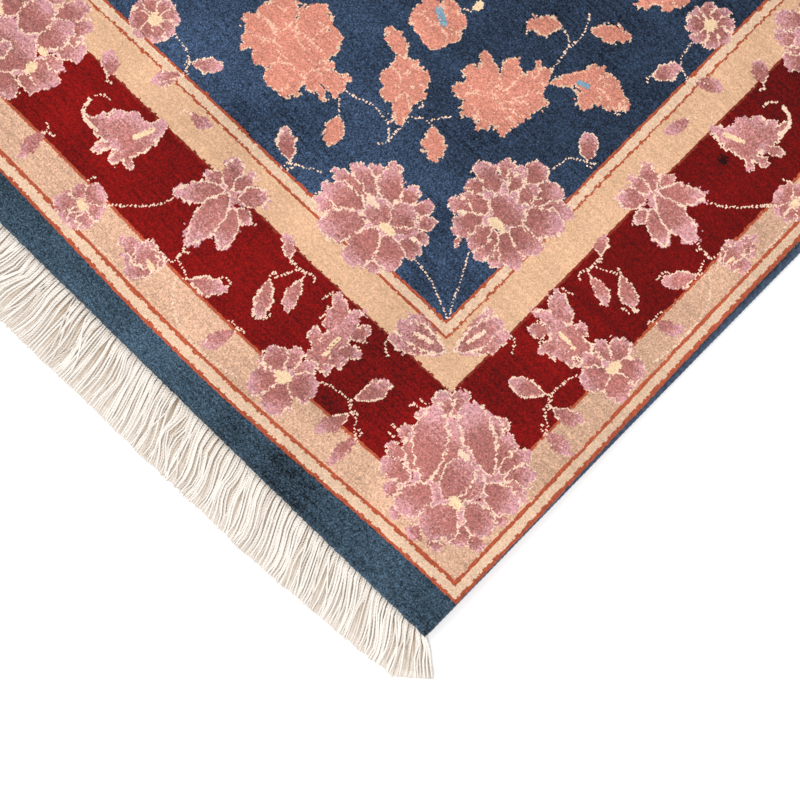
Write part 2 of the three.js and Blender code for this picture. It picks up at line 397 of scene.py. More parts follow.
TOOTHED_COLUMN = [
    (83.8, 17, 84.6, 47.8, 8.5), (85, 37, 93.8, 46.3, 6.5), (86, 35, 92.5, 40, 5),
    (86, 29, 91.8, 33.5, 4.5), (82, 38, 77.3, 43.8, 5.5), (82, 32, 74.6, 36.3, 5),
    (82, 27, 77, 33, 5.5), (82, 24, 78.2, 28.3, 4),
]
BORDER_ROSETTE = [
    (88, 18, 90.2, 26, 5.5), (84, 17, 83.5, 26, 6), (90, 20, 97.3, 15.3, 5),
    (89, 17, 97.3, 20, 7), (88, 15.5, 93, 6.8, 9), (85.5, 15.5, 81.8, 5.3, 8.5),
    (85.5, 16, 76.4, 19.3, 8.5),
]
LILY = [
    (143.5, 45.2, 150.4, 44.9, 5.2), (140.5, 45.5, 146.6, 55.2, 6.4), (139.5, 46, 139, 55.2, 5.2),
    (137, 45.5, 130, 53.2, 7), (134.8, 43.6, 128.4, 41.8, 4.8), (141.5, 45, 152.3, 32.4, 7),
    (136, 42.8, 129.5, 30.6, 7), (140.2, 45.2, 138, 24.2, 8.6),
]
HALF_FLOWER = [
    (141, 11.5, 150, 9.2, 4), (140, 13, 145.2, 5.6, 6), (139.5, 12.2, 154.3, 12.3, 5),
    (138, 14.6, 148, 16.2, 5.5), (138.2, 13, 149.2, 14, 5.5),
]
SMALL_ROSETTE = [
    (169.5, 9, 171.5, 3.2, 6.5), (168, 9, 166.3, 3.8, 5.5), (170, 9.5, 176.7, 6.2, 6),
    (167.5, 10, 162.8, 6.8, 5), (170.5, 12, 174.9, 13.8, 6), (167.5, 11.5, 162.6, 13.5, 6.5),
    (169, 12, 168, 18.6, 8),
]
CURLED_LEAF = [
    (176, 32, 179.6, 24.0, 3.6), (171, 32, 172.9, 25.4, 3.8), (171, 31.5, 166.4, 28.8, 3.2),
    (174, 31.5, 177.8, 43.4, 9.5), (176.5, 31.5, 182.6, 39.8, 8), (179, 31.5, 186, 35.2, 5),
    (189.5, 30.8, 171, 31.5, 4.8), (171.3, 28.5, 169.2, 47.6, 6.6), (173, 30, 172.6, 43.8, 8),
]
print("petals:", sum(map(len, (CORNER_PALMETTE, SIDE_PALMETTE, TOOTHED_COLUMN, BORDER_ROSETTE,
                               LILY, HALF_FLOWER, SMALL_ROSETTE, CURLED_LEAF))))

# %% [markdown]
# One list of motifs serves the end and the side: on the side the two coordinates change
# places, the run is a little shorter, and past its palmette it turns back on itself, so
# the motifs repeat mirrored up to the middle of the rug. Small shifts bring the motifs to
# where the weaver's tension has drawn them on the real rug.

# %% The two runs of the border
MIDDLE_OF_RUN = 225.6
SIDE_START, SIDE_SHARE, SIDE_SHIFT = 87, 0.93, 1.8
END_RUN_SHIFT = 2.6


def side_run(v):
    """Squares along the side to squares along the run: past the first rosette the side is
    shorter by a constant share, and past the palmette the run turns back."""
    s = np.where(v > SIDE_START, SIDE_START + (v - SIDE_START) / SIDE_SHARE, v)
    s = s - SIDE_SHIFT * smooth(s, 150, 170)
    return MIDDLE_OF_RUN - np.abs(MIDDLE_OF_RUN - s)


end_border = Run(U - END_RUN_SHIFT * smooth(U, 110, 200), V)
side_border = Run(side_run(V), U)
print("runs:", round(end_border.s.max()), "and", round(side_border.s.max()), "squares long")

# %% Stems and leaves of the border
BORDER_STEMS = [
    [(133, 15), (128, 9.5), (120, 6), (108, 5.6), (98, 7)],
    [(164, 7), (157, 5.6), (151, 6.2)],
    [(77.5, 22.5), (74, 23.5), (67, 24), (65, 22), (61.5, 20.8), (59.5, 17.8), (56.5, 16.5)],
    [(75.5, 35.8), (77, 37.8), (78.5, 37)],
    [(111.5, 43), (107, 43), (103, 44.2), (101.5, 43)],
    [(107.5, 43), (109, 40.5), (111.5, 36)],
    [(104, 27), (104.5, 24.5)],
    [(119.5, 25.5), (122.5, 25.8), (123.5, 24.5)],
    [(108.5, 17.3), (111, 17.8), (112.5, 17)],
    [(139.2, 25.5), (137.5, 23), (137, 20), (134.5, 19), (130, 17.5)],
    [(137.3, 22.5), (135.3, 23.6)],
    [(137.2, 20.5), (137.2, 18.4), (138.4, 17.5), (142, 17.5), (147.5, 17.4)],
    [(130.5, 41.5), (129, 42.8), (127.5, 43.5)],
    [(131, 31.5), (129, 31.5), (128.3, 33.8)],
    [(151, 31.5), (152.5, 28), (155.5, 24), (160, 19.5), (163.5, 16)],
    [(172.5, 19.5), (173.2, 17)],
    [(191, 19.2), (193.5, 18.5)],
    [(72.5, 46), (72, 43.8), (68.5, 41.5)],
    [(96, 41), (95.2, 44.6)],
]
BORDER_LEAVES = [  # base, tip, width, side of the hook
    ((66.7, 25), (61.8, 36.7), 6.2, 1), ((64.5, 21), (68.4, 10), 5.4, -1),
    ((57.5, 17.3), (57.9, 5.3), 4.8, 1),
    ((112, 43), (119, 47.6), 4.6, 1), ((105, 41.5), (101.3, 30.5), 4.8, 1),
    ((112.5, 35), (106.3, 23), 5.8, -1), ((108, 16.6), (112.8, 6.5), 4.6, -1),
    ((130, 17.5), (119, 23.8), 6.2, 1), ((194, 18.5), (193.4, 6.5), 4.3, 1),
    ((192.5, 45), (198.3, 52), 6, 1), ((176.3, 61.5), (181.8, 53), 5.0, 1),
    ((166.5, 54.3), (157.5, 56.2), 4.0, 1),
]
INNER_BUDS = [(56, 54.8, 74.5, 55.6, 4.5), (58, 53.8, 72.8, 46.3, 6.5), (57, 54.3, 74.3, 51.3, 7)]
print(len(BORDER_STEMS), "stems,", len(BORDER_LEAVES), "leaves")

# %% Painting the border
for border in (end_border, side_border):
    for points in BORDER_STEMS:
        stem(border, points, thick=0.33)
    for base, tip, width, curl in BORDER_LEAVES:
        small_leaf(border, base, tip, width, curl)
    silk(border, TOOTHED_COLUMN, full=0.72, skew=1.1, halo=1.3)
    stem(border, [(83.2, 29), (83.6, 35.5)], "straw", thick=0.65, skip=0.2)
    spot(border, (86.5, 17.5), (4.5, 4), "lilac")
    flower(border, BORDER_ROSETTE)
    spot(border, (87.3, 15.8), (2.6, 2.0))
    spot(border, (139.6, 44.6), (3.4, 2.6), "mauve")
    flower(border, LILY, broad=1.08, full=0.88, skew=0.92, torn=0.6)
    flower(border, HALF_FLOWER)
    spot(border, (141.2, 12.7), (2.0, 0.7))
    flower(border, SMALL_ROSETTE)
    spot(border, (169.2, 10.3), (1.8, 1.3))
    silk(border, CURLED_LEAF, torn=0.7, halo=1.3)
    stem(border, [(183, 30.2), (187.6, 30), (190.4, 32.2), (191.3, 35.6)], thick=0.6)
    stem(border, [(191, 38), (189, 39.8), (186.3, 40)])
    stem(border, [(170.4, 42.6), (172.8, 37)], "straw", thick=0.8)
    flower(border, SIDE_PALMETTE)
    spot(border, (213, 36.5), (1.6, 1.2))
    spot(border, (212, 30), (1.8, 2.2))
    flower(border, INNER_BUDS)  # they meet at the inner corner
    stem(border, [(62, 54), (67.5, 52.6)], thick=0.7)
print("border, tufts of rose:", int((chart == CODE["rose"]).sum()))

# %% The corner palmette
CORNER_HOOKS = [
    [(49.5, 38.6), (52.5, 38.6)], [(51, 36.4), (53, 36), (52.6, 34.8)], [(50, 27), (53, 27)],
    [(49.6, 24.6), (51.4, 24.5)],
]
corner = Run(U, V)
for centre, radii in CORNER_GROUND:
    spot(corner, centre, radii, "mauve")
flower(corner, CORNER_PALMETTE)
spot(corner, (21.5, 22), (2.6, 1.9))
spot(corner, (30, 35), (2.3, 0.9), "vein")
for hook in CORNER_HOOKS:
    stem(corner, hook)
print("border charted:", {name: int((chart == code).sum()) for name, code in CODE.items()})

# %% [markdown]
# ## The field
# The navy field carries silk rosettes and flat salmon flowers. A salmon flower is
# outlined in cream against the ground, and where one of its petals lies on another there
# is only a faint line, broken here and there. The field's coordinates are drawn in a
# little towards the rug's middle, like those of the border.

# %% Painting in salmon
FLAT = [CODE[name] for name in ("salmon", "peach", "cream")]
field = Run(U - 1.7 * smooth(U, 85, 150) - 1.2 * smooth(U, 165, 200),
            V - 1.8 * smooth(V, 62, 130))


def salmon(petals, **shape):
    """Paints petals from a list of base u, base v, tip u, tip v and width, the broadest
    first. Between petals the line is peach and a chance of 0.2 or 0.8 breaks it, by the
    drift of the noise."""
    for one in sorted(map(tuple, petals), key=lambda one: -one[4]):
        here, depth, _ = merged(field, [one], **shape)
        under, drift, grit = field.cells[here], field.drift[here], field.grit[here]
        inner = np.isin(under, FLAT)
        paint = np.where(inner, CODE["peach"], CODE["cream"])
        whole = grit < np.where(inner & (drift > 0.6), 0.2, 0.8)
        lined = (depth < np.where(inner, 0.75, 0.6)) & whole
        field.cells[here] = np.where(depth > 0, np.where(lined, paint, CODE["salmon"]), under)


# %% Petals of the field's silk rosettes
ROSETTE_LARGE = [
    (107, 81, 109.7, 87.8, 4.5), (94, 79, 92.8, 86, 5.5), (91, 77, 87.5, 82.8, 5),
    (98, 79, 101, 86.3, 6), (105, 78, 115, 82, 6.5), (91, 74.5, 84.8, 76.5, 4.5),
    (106, 75.5, 119, 78.3, 6), (107, 72.5, 122.3, 72.5, 6), (101, 77, 109.8, 84.8, 8),
    (106, 66, 120.3, 62.3, 6.5), (106, 70.5, 121.3, 66.8, 7.5), (95, 64, 90.8, 57, 6.5),
    (92, 71, 83.8, 70.3, 6.5), (97, 72, 90, 77.3, 6.5), (96, 69, 86.8, 61.5, 9),
    (103.5, 68.5, 112, 55.5, 10), (99, 68.5, 98.3, 53.8, 9.5), (97.3, 72, 96.3, 81.3, 8.5),
    (98, 70.3, 107, 73.3, 8.5),
]
ROSETTE_NORTH = [
    (76.5, 110, 76, 118.3, 7), (72, 106, 66, 116.3, 8), (68, 106, 58.5, 113, 7),
    (81, 106, 86.3, 111.8, 6), (79, 105, 80.6, 113.3, 5), (80, 102.5, 92.6, 104.3, 7),
    (84, 98.5, 90.3, 98.6, 5.5), (78, 95.5, 88.6, 93, 7), (81, 92, 90.2, 89.8, 5),
    (79, 84, 78.3, 80.3, 2.5), (78, 93, 82, 83.5, 8), (71.5, 93, 63.5, 84.8, 8.5),
    (72.5, 93, 70.3, 82, 6.5), (75, 93.5, 74.3, 83.3, 6), (78, 104, 78.8, 112, 4.5),
    (73.5, 103, 73, 111.8, 5), (71, 94.5, 58.5, 88.8, 7.5), (70, 97, 57.5, 97.5, 8),
    (71, 101, 57.5, 107.5, 9), (74, 95, 74.6, 104.3, 11.5),
]
ROUND_FLOWER = [
    (math.cos(k * 0.79) * 1.5, math.sin(k * 0.79) * 1.5,
     math.cos(k * 0.79) * 8.0, math.sin(k * 0.79) * 8.0, 6.2) for k in range(8)
]
print("silk petals:", len(ROSETTE_LARGE) + len(ROSETTE_NORTH) + len(ROUND_FLOWER))

# %% Petals of the salmon flowers
SALMON_PALMETTE = [
    (144, 91, 175, 91, 25), (148, 92.3, 136.5, 92.3, 7), (142, 92, 138, 97, 4),
    (141, 90, 135.6, 89.8, 2.4), (144, 88.6, 138.4, 86.6, 3.4), (148, 92, 144.5, 85, 7),
    (147, 94, 144, 95.8, 4), (150, 92, 152.8, 105.3, 9), (154, 94, 163, 107.5, 12),
    (164, 95, 173.5, 102.5, 9), (152, 89, 149.5, 78.3, 9), (154, 88, 155.5, 77.8, 9),
    (160, 89, 165.5, 81, 9.5), (166, 86, 172.5, 84, 7), (164, 90, 176.8, 88.8, 7),
    (164, 94, 175, 95, 8),
]
SALMON_STAR = [
    (98, 122, 96.7, 142.3, 10), (98, 136, 101, 141.8, 3), (96, 134, 93.6, 137.3, 4),
    (102, 126, 107, 138.2, 7), (103, 126, 115.3, 131.6, 6), (102, 124, 116.5, 124.4, 8.5),
    (104, 124, 113.5, 115.5, 9), (103, 125, 106.5, 111.5, 9), (101, 126, 99.5, 111.3, 9),
    (98, 125, 92.8, 115, 9), (100, 121, 90.8, 119.5, 8), (100, 124, 90.5, 123.5, 7),
    (99, 126, 88.5, 126, 5), (98, 126, 88.7, 134, 7), (110, 125, 93, 123, 14),
    (109, 119, 93, 119, 9),
]
SALMON_SMALL = [
    (132, 128, 132, 137.5, 8), (130, 128, 125.5, 135.3, 8), (131, 128, 122.8, 130, 8.5),
    (131, 128, 124.5, 124, 8), (131, 128, 127.2, 120.5, 8), (132, 128, 135, 121.5, 8.5),
    (131, 128, 139.8, 125.5, 10), (131, 129, 139.3, 131.6, 8), (127, 128, 136, 128, 12),
]
SALMON_BUD = [
    (130, 113, 141.3, 117.2, 5.5), (119.5, 100, 130.5, 114, 13), (125, 108, 121.8, 114.5, 8.5),
    (127, 109, 132.8, 113, 6), (126, 106, 132.8, 105.3, 6.5), (124, 105, 128.3, 99.5, 6),
    (123, 105, 117.2, 96, 5.5), (123, 106, 117.2, 108.6, 6),
]
SALMON_CURL = [
    (93.3, 138.8, 86, 149, 5), (86.5, 146, 84.8, 154.6, 6), (90.5, 146, 73, 149, 11.5),
    (82, 150.5, 69.4, 149, 5.4), (73, 151, 71.4, 146.6, 2.4), (82, 148, 80.4, 139, 7),
    (83, 148, 77.5, 153.6, 7),
]
SALMON_LEAVES = [
    (132, 86, 128.2, 76.3, 6.6), (109.5, 103.3, 101.2, 95.3, 7), (103.3, 155.3, 111.6, 147.2, 7),
    (96.3, 160.3, 85.2, 167.2, 6.6),
]
print("salmon petals near the corner:", sum(map(len, (
    SALMON_PALMETTE, SALMON_STAR, SALMON_SMALL, SALMON_BUD, SALMON_CURL, SALMON_LEAVES))))

# %% Vines near the corner
VINES = [
    [(137.5, 93.2), (134, 93.4), (131, 94.3), (127, 95.4), (123, 95), (119.5, 94.6)],
    [(136, 89.8), (134, 87.5), (132, 86)],
    [(118.8, 93.5), (117, 91.5), (116, 90), (118, 87.5)],
    [(116.5, 97), (116.3, 92)],
    [(117.5, 96.3), (117, 100), (114, 102.5), (111.5, 103.4), (109, 103)],
    [(111.5, 104), (109.5, 107), (107.5, 109.5)],
    [(118.5, 107.5), (116.5, 106), (116.6, 104.5)],
    [(96, 142), (96.5, 146), (97, 150), (97, 158), (100, 164)],
    [(97.5, 151.5), (99.5, 153.5), (101.5, 154.2), (104, 154.5)],
    [(110.5, 147.5), (109.5, 145.3)],
    [(126.3, 140), (127, 138.3), (129, 137)],
    [(73.5, 82), (69, 74), (66.5, 68), (63.5, 63.5)],
    [(85, 69.5), (78, 68.5), (71, 66), (64, 63)],
    [(187.5, 69.7), (181, 68.5), (177.5, 66)],
    [(177.5, 66), (176.5, 62), (178, 58), (180, 55)],
    [(123.5, 69.5), (129, 66.5), (133, 64.5)],
    [(133, 64.5), (133.5, 61), (134, 58)],
    [(73.5, 119), (72, 125), (67, 128), (64.5, 129.5)],
    [(71, 180.5), (69, 173), (64.5, 170), (57, 173)],
    [(70.5, 147.5), (71, 146), (72.3, 145.4)],
]
for points in VINES:
    stem(field, points, thick=0.28, skip=0.12)
print(len(VINES), "vines")

# %% Silk rosettes near the corner
spot(field, (98, 72), (10, 7), "lilac")
flower(field, ROSETTE_LARGE)
spot(field, (97, 70.5), (3.0, 1.5))
spot(field, (106.5, 73.5), (2.4, 1.3), "vein")
spot(field, (78, 99), (9, 9), "lilac")
flower(field, ROSETTE_NORTH)
spot(field, (74, 94.5), (3.2, 1.6))
for u, v in ((195.3, 68.8), (70.3, 187.5)):
    flower(field, np.add(ROUND_FLOWER, (u, v, u, v, 0)))
    spot(field, (u, v), (2.2, 2.0))
small_leaf(field, (177.5, 66.8), (168.8, 72.8), 5.4)
small_leaf(field, (132.5, 65), (142, 72.3), 6.2, curl=-1)
small_leaf(field, (72, 162.3), (67.8, 171.5), 6.4)
small_leaf(field, (67.5, 128), (74.3, 135.2), 6.4)

# %% Salmon flowers near the corner
PALMETTE_VEINS = [
    [(162, 97), (150, 96.8)], [(158, 103), (154.5, 103)], [(161, 88), (157, 88)],
    [(150, 85.3), (143, 85.5)], [(168, 93), (165, 91.5)],
]
salmon(SALMON_PALMETTE)
for points in PALMETTE_VEINS:
    stem(field, points, "peach", skip=0.25)
salmon(SALMON_STAR, full=0.95, skew=1.05)
stem(field, [(104.5, 124), (100, 122.6), (94.5, 123.8)], "peach", skip=0.15)
salmon(SALMON_SMALL)
stem(field, [(134, 131.6), (129.8, 129.6)], "sky", thick=1.1)
salmon(SALMON_BUD)
salmon(SALMON_CURL)
stem(field, [(87, 145), (84, 146)], "sky", thick=0.8)
spot(field, (126, 141.5), (1.3, 1.9))
for leaf in SALMON_LEAVES:
    salmon([leaf], full=0.7, skew=1.0)
print("tufts of salmon so far:", int((chart == CODE["salmon"]).sum()))

# %% [markdown]
# Further in, where the field runs on to the rug's middle, the same flowers are strewn in
# the same way, on vines that wander between them.

# %% Flowers further in
INNER_VINES = [
    [(170, 105), (190, 112), (205, 122), (215, 140), (210, 160), (180, 165)],
    [(145, 130), (160, 140), (165, 160), (150, 185), (125, 195)],
    [(120, 200), (105, 210), (95, 225), (85, 245), (80, 270)],
    [(160, 175), (180, 190), (200, 200), (216, 215), (212, 235), (198, 248)],
    [(95, 235), (120, 245), (150, 255), (175, 245), (192, 250)],
    [(150, 255), (165, 275), (172, 300), (150, 312), (124, 308)],
    [(196, 255), (206, 275), (200, 300), (215, 318)],
    [(80, 275), (90, 292), (105, 302), (120, 306)],
]
INNER_SILK = [  # petals, place, turn, share of the size
    (ROSETTE_LARGE, 160, 168, 0.6, 1.0), (ROSETTE_NORTH, 92, 228, 2.4, 0.95),
    (ROSETTE_LARGE, 196, 250, 3.5, 1.0), (ROSETTE_NORTH, 225.6, 324, 1.0, 1.4),
    (ROSETTE_LARGE, 120, 306, 5.0, 0.85), (ROUND_FLOWER, 205, 180, 0, 1.0),
    (ROUND_FLOWER, 140, 225, 0, 1.0), (ROUND_FLOWER, 78, 310, 0, 1.0),
]
INNER_SALMON = [
    (SALMON_STAR, 205, 122, 1.0, 1.0), (SALMON_PALMETTE, 120, 198, 2.0, 0.8),
    (SALMON_STAR, 150, 255, 3.0, 1.1), (SALMON_SMALL, 80, 275, 0.5, 1.2),
    (SALMON_BUD, 172, 300, 2.0, 1.2), (SALMON_SMALL, 214, 205, 1.0, 1.2),
    (SALMON_BUD, 181, 138, 4.0, 1.1), (SALMON_CURL, 134, 152, 2.5, 1.0),
    (SALMON_BUD, 176, 216, 0.5, 1.1), (SALMON_CURL, 115, 244, 5.0, 1.0),
    (SALMON_BUD, 90, 190, 1.0, 0.9), (SALMON_SMALL, 145, 286, 3.0, 1.0),
    (SALMON_CURL, 198, 284, 0.8, 1.1), (SALMON_BUD, 96, 300, 2.6, 1.0),
]


def moved(petals, u, v, turn=0.0, grow=1.0):
    """A flower's petals, moved from their own middle to a place, turned and scaled."""
    petals = np.asarray(petals, float)
    ends = petals[:, :4].reshape(-1, 2)
    ends = ends - (ends.min(0) + ends.max(0)) / 2
    spin = np.array([[math.cos(turn), math.sin(turn)], [-math.sin(turn), math.cos(turn)]])
    ends = (grow * ends @ spin + (u, v)).reshape(-1, 4)
    return np.hstack([ends, grow * petals[:, 4:]])


for points in INNER_VINES:
    stem(field, points, thick=0.28, skip=0.12)
for petals, u, v, turn, grow in INNER_SILK:
    flower(field, moved(petals, u, v, turn, grow))
    spot(field, (u, v), (2.4 * grow, 1.6 * grow))
for petals, u, v, turn, grow in INNER_SALMON:
    salmon(moved(petals, u, v, turn, grow))
print(len(INNER_SILK) + len(INNER_SALMON), "flowers further in")

# %% [markdown]
# Loose leaves fill what is still bare. Steps that share no divisor with the size of the
# field scatter them evenly without chance, and one is drawn only where nothing lies yet.

# %% Leaves in the bare places
LEAF_TRIES, GOLDEN_TURN, LEAF_LENGTH = 60, 2.4, 9
NEAR_CORNER = 285  # u + v up to which the field has its own leaves
drawn = 0
for number in range(LEAF_TRIES):
    angle = number * GOLDEN_TURN
    u, v = 78 + (number * 37) % 140, 150 + (number * 53) % 165
    tip = (u + LEAF_LENGTH * math.cos(angle), v + LEAF_LENGTH * math.sin(angle))
    bare = (field.cells[field.near([(u, v), tip], 2.5)] == CODE["navy"]).all()
    if bare and u + v > NEAR_CORNER:
        drawn += 1
        if number % 2:
            salmon([(u, v, *tip, 5.6)], full=0.7, skew=1.0)
        else:
            small_leaf(field, (u, v), tip, 5.4)
print(drawn, "loose leaves")

# %% [markdown]
# ## From chart to tufts
# The quarter is mirrored to the whole rug and the plain navy bands are added at the
# ends. Each tuft gets its own shade: a little grain, the slow drift of the dye, and faint
# streaks along the rows.

# %% Tufts and their shades
half = np.hstack([chart, chart[:, ::-1]])
pattern = np.vstack([half, half[::-1]])
band = np.full((BAND_ROWS, TUFTS_ACROSS), CODE["band"])
tufts = np.vstack([band, pattern, band])


def to_linear(colour):
    """Screen colour to linear light: the two-part sRGB curve."""
    colour = np.asarray(colour, float)
    return np.where(colour <= 0.04045, colour / 12.92, ((colour + 0.055) / 1.055) ** 2.4)


GRAIN, DYE, STREAK = 0.9, 1.6, 1.5  # shares of each yarn's own unevenness
shades = to_linear(np.array([rgb for rgb, *_ in YARNS.values()]) / 255)
mottle = np.array([amount for _, amount, _ in YARNS.values()])
fibres = np.array([amount for *_, amount in YARNS.values()])[tufts]
grain = np.clip(rng.normal(0, 1, tufts.shape), -1.8, 2.2)
dye = clouds(tufts.shape, (70, 46), 11) + clouds(tufts.shape, (18, 12), 12) - 1
streak = clouds(tufts.shape, (tufts.shape[0], 9), 13) - 0.5
shade = 1 + mottle[tufts] * (GRAIN * grain + DYE * dye + STREAK * streak)
print("tufts:", tufts.size, "shade", shade.min().round(2), "to", shade.max().round(2))

# %% [markdown]
# The real rug was knotted from more than one lot of dye: the red gets darker along the
# sides, and the navy goes from a lighter lot near the ends to a darker one. The beige and
# cream of the guard bands along the sides are a little darker, as painted shade, and the
# near right quarter has a small dark stain on its red.

# %% Lots of dye, painted shade along the sides and the stain
RED_LOT = 0.26  # how much darker the red gets
NAVY_LOT, NAVY_FALL = 0.38, 0.5  # how much lighter the navy starts, and how far it falls
STAIN, STAIN_EDGE, STAIN_DEPTH = (37.4, 159.4), (2.2, 1.1), 0.85  # squares, share of light
SIDE_SHADE = 0.12
row_at, column_at = np.indices(tufts.shape)
from_end = (np.minimum(row_at, len(tufts) - 1 - row_at) - BAND_ROWS) * TUFT_Y / SQUARE
from_side = np.minimum(column_at, TUFTS_ACROSS - 1 - column_at) * TUFT_X / SQUARE
shade *= 1 - RED_LOT * smooth(from_end, 72, 108) * (tufts == CODE["red"])
shade *= 1 + (NAVY_LOT - NAVY_FALL * smooth(from_end, 50, 140)) * (tufts == CODE["navy"])
from_stain = np.hypot((TUFTS_ACROSS - column_at) * TUFT_X / SQUARE - STAIN[0],
                      (row_at - BAND_ROWS) * TUFT_Y / SQUARE - STAIN[1])
from_stain = from_stain + 1.2 * (rng.random(tufts.shape) - 0.5)
shade *= 1 - STAIN_DEPTH * smooth(from_stain, *STAIN_EDGE)
# Painted shade: the beige and cream along the sides, away from the ends, are darker.
side_shade = smooth(from_end, 30, 60) * smooth(from_side, 20, 16)
shade *= 1 - SIDE_SHADE * side_shade * np.isin(tufts, [CODE["beige"], CODE["cream"]])
tuft_colour = np.clip(shades[tufts] * shade[..., None], 0.002, 1)
silky = np.isin(tufts, SILK).astype(float)
print("of silk:", round(100 * silky.mean()), "%, stained tufts:", int((from_stain < STAIN_EDGE[1]).sum()))

# %% [markdown]
# ## The pile
# The pile is one grid of facets, four tufts to a facet. Its columns and rows follow the
# weave: they pull in beside the selvedge and wave at the ends, as the real lines do. At
# the edge the grid turns down over the web. Small random shifts of the corners tilt each
# facet a little, which gives the cut pile its grain in the light.

# %% Places in the weave
OUTER_SHIFT, OUTER_FADE = 1.9, 28  # the outermost lines are drawn this far outward, in mm
LINE_FADE, SIDE_FADE = 110, 35


def line_wave(x):
    """How the outermost line of the pattern waves near the end, in mm along Y."""
    return -1.4 - 3.0 * np.cos((x - 203) / 60)


def place_tufts(column, row, side, end):
    """Corners of the weave in mm. Even steps, then the near end's line and the right
    side are pulled to their places, and the same pulls are made turned half round for
    the far end and the left side. The pulls fade out inward."""
    x0, y0 = np.meshgrid((column - TUFTS_ACROSS / 2) * TUFT_X, (row - TUFTS_ALONG / 2) * TUFT_Y)
    x, y = x0.copy(), y0.copy()
    for turn in (1, -1):
        across, inward = x0 * turn, y0 * turn + PATTERN_Y
        line = line_wave(across)
        pull = line * (1 - smooth(inward, 0, LINE_FADE))
        pull = pull - OUTER_SHIFT * (1 - smooth(inward, 0, OUTER_FADE))
        y += turn * pull * (inward > 0)
        line = line - OUTER_SHIFT
        share = np.clip(-inward / (BAND_ROWS * TUFT_Y), 0, 1)
        banded = line - PATTERN_Y - share * (end(across) - PATTERN_Y + line)
        y = np.where(inward <= 0, turn * banded, y)
    for turn in (1, -1):
        pull = (side(y * turn) - PATTERN_X) * smooth(x0 * turn, PATTERN_X - SIDE_FADE, PATTERN_X)
        x += turn * pull
    return x, y


# %% Corners of the facets
LIP, EDGE_DIP = 3.1, 0.25  # height of the pile's lowest line, and how far the third dips
SWELL, UNEVEN, TILT = 0.3, 0.3, (0.34, 0.34, 0.2)


def fall(count):
    """How far the first and last lines of corners lie below the top."""
    below = np.zeros(count)
    below[:3] = PILE_TOP - LIP, PILE_TOP - SHOULDER, EDGE_DIP
    below[-3:] = below[2::-1]
    return below


column = np.r_[0, np.arange(0, TUFTS_ACROSS + 1, FACET), TUFTS_ACROSS]
row = np.r_[0, np.arange(0, len(tufts) + 1, FACET), len(tufts)] - BAND_ROWS
x, y = place_tufts(column, row, pile_side, pile_end)
drop = np.maximum(fall(len(column))[None], fall(len(row))[:, None])
waves = SWELL * np.cos(x / 95) * np.cos(y / 120)
waves *= (1 - (x / HALF_WIDTH) ** 2) * (1 - (y / HALF_LENGTH) ** 2)
z = PILE_TOP + waves - drop + UNEVEN * (clouds(x.shape, (110, 75), 21) - 0.5)
corners = np.stack([x, y, z], -1)
corners += rng.uniform(-1, 1, corners.shape) * TILT
print("pile spans", np.ptp(x).round(1), "by", np.ptp(y).round(1), "mm")

# %% [markdown]
# ## Making meshes
# One helper turns arrays into a mesh: corners in mm, faces, a colour to a face, and a UV
# map for the textures of the exported model. The faces of the pile stay flat-shaded,
# because each is a clump of its own.

# %% A mesh from arrays
LAYER_KINDS = {1: ("FLOAT", "value"), 3: ("FLOAT_VECTOR", "vector"), 4: ("FLOAT_COLOR", "color")}


def make_piece(name, points, faces, uv, soft=False, run=None, **values):
    """A mesh object at the origin, from corners in mm. The map run, where there is one,
    goes round and along a yarn. Each further value is a number, a vector or a colour for
    every corner or for every face, kept as an attribute of that name."""
    mesh = bpy.data.meshes.new(name)
    mesh.from_pydata((np.asarray(points) / 1000).tolist(), [], faces)
    for key, given in values.items():
        kind, field_name = LAYER_KINDS[1 if np.ndim(given) == 1 else given.shape[1]]
        domain = "POINT" if len(given) == len(points) else "FACE"
        layer = mesh.attributes.new(key, kind, domain)
        layer.data.foreach_set(field_name, np.asarray(given, np.float32).ravel())
    for map_name, given in (("OFBake", uv), ("run", run)):
        if given is not None:
            layer = mesh.uv_layers.new(name=map_name)
            layer.data.foreach_set("uv", np.asarray(given, float).ravel())
    mesh.polygons.foreach_set("use_smooth", np.full(len(mesh.polygons), soft))
    mesh.update()
    piece = bpy.data.objects.new(name, mesh)
    bpy.context.scene.collection.objects.link(piece)
    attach(piece, "root")
    print(name, len(faces), "faces")
    return piece


# %% [markdown]
# A slab is a grid closed on its other side. The baked textures need a flat map without
# overlaps, so the grid gets nearly all of it, and the walls and the fan that closes the
# slab get one narrow strip each.

# %% Grids and slabs
GRID_SHARE = 0.96
WALL_STRIP, FAN_STRIP = (0.963, 0.975), 0.98


def around_cells(n):
    """The four corners of each cell of a grid of corner numbers, anticlockwise where the
    first index runs along Y and the second along X."""
    return np.stack([n[..., :-1, :-1], n[..., :-1, 1:], n[..., 1:, 1:], n[..., 1:, :-1]], -1)


def rim(n):
    """The corner numbers round the edge of a grid, anticlockwise, each one once."""
    return np.r_[n[0, :-1], n[:-1, -1], n[-1, :0:-1], n[:0:-1, 0]]


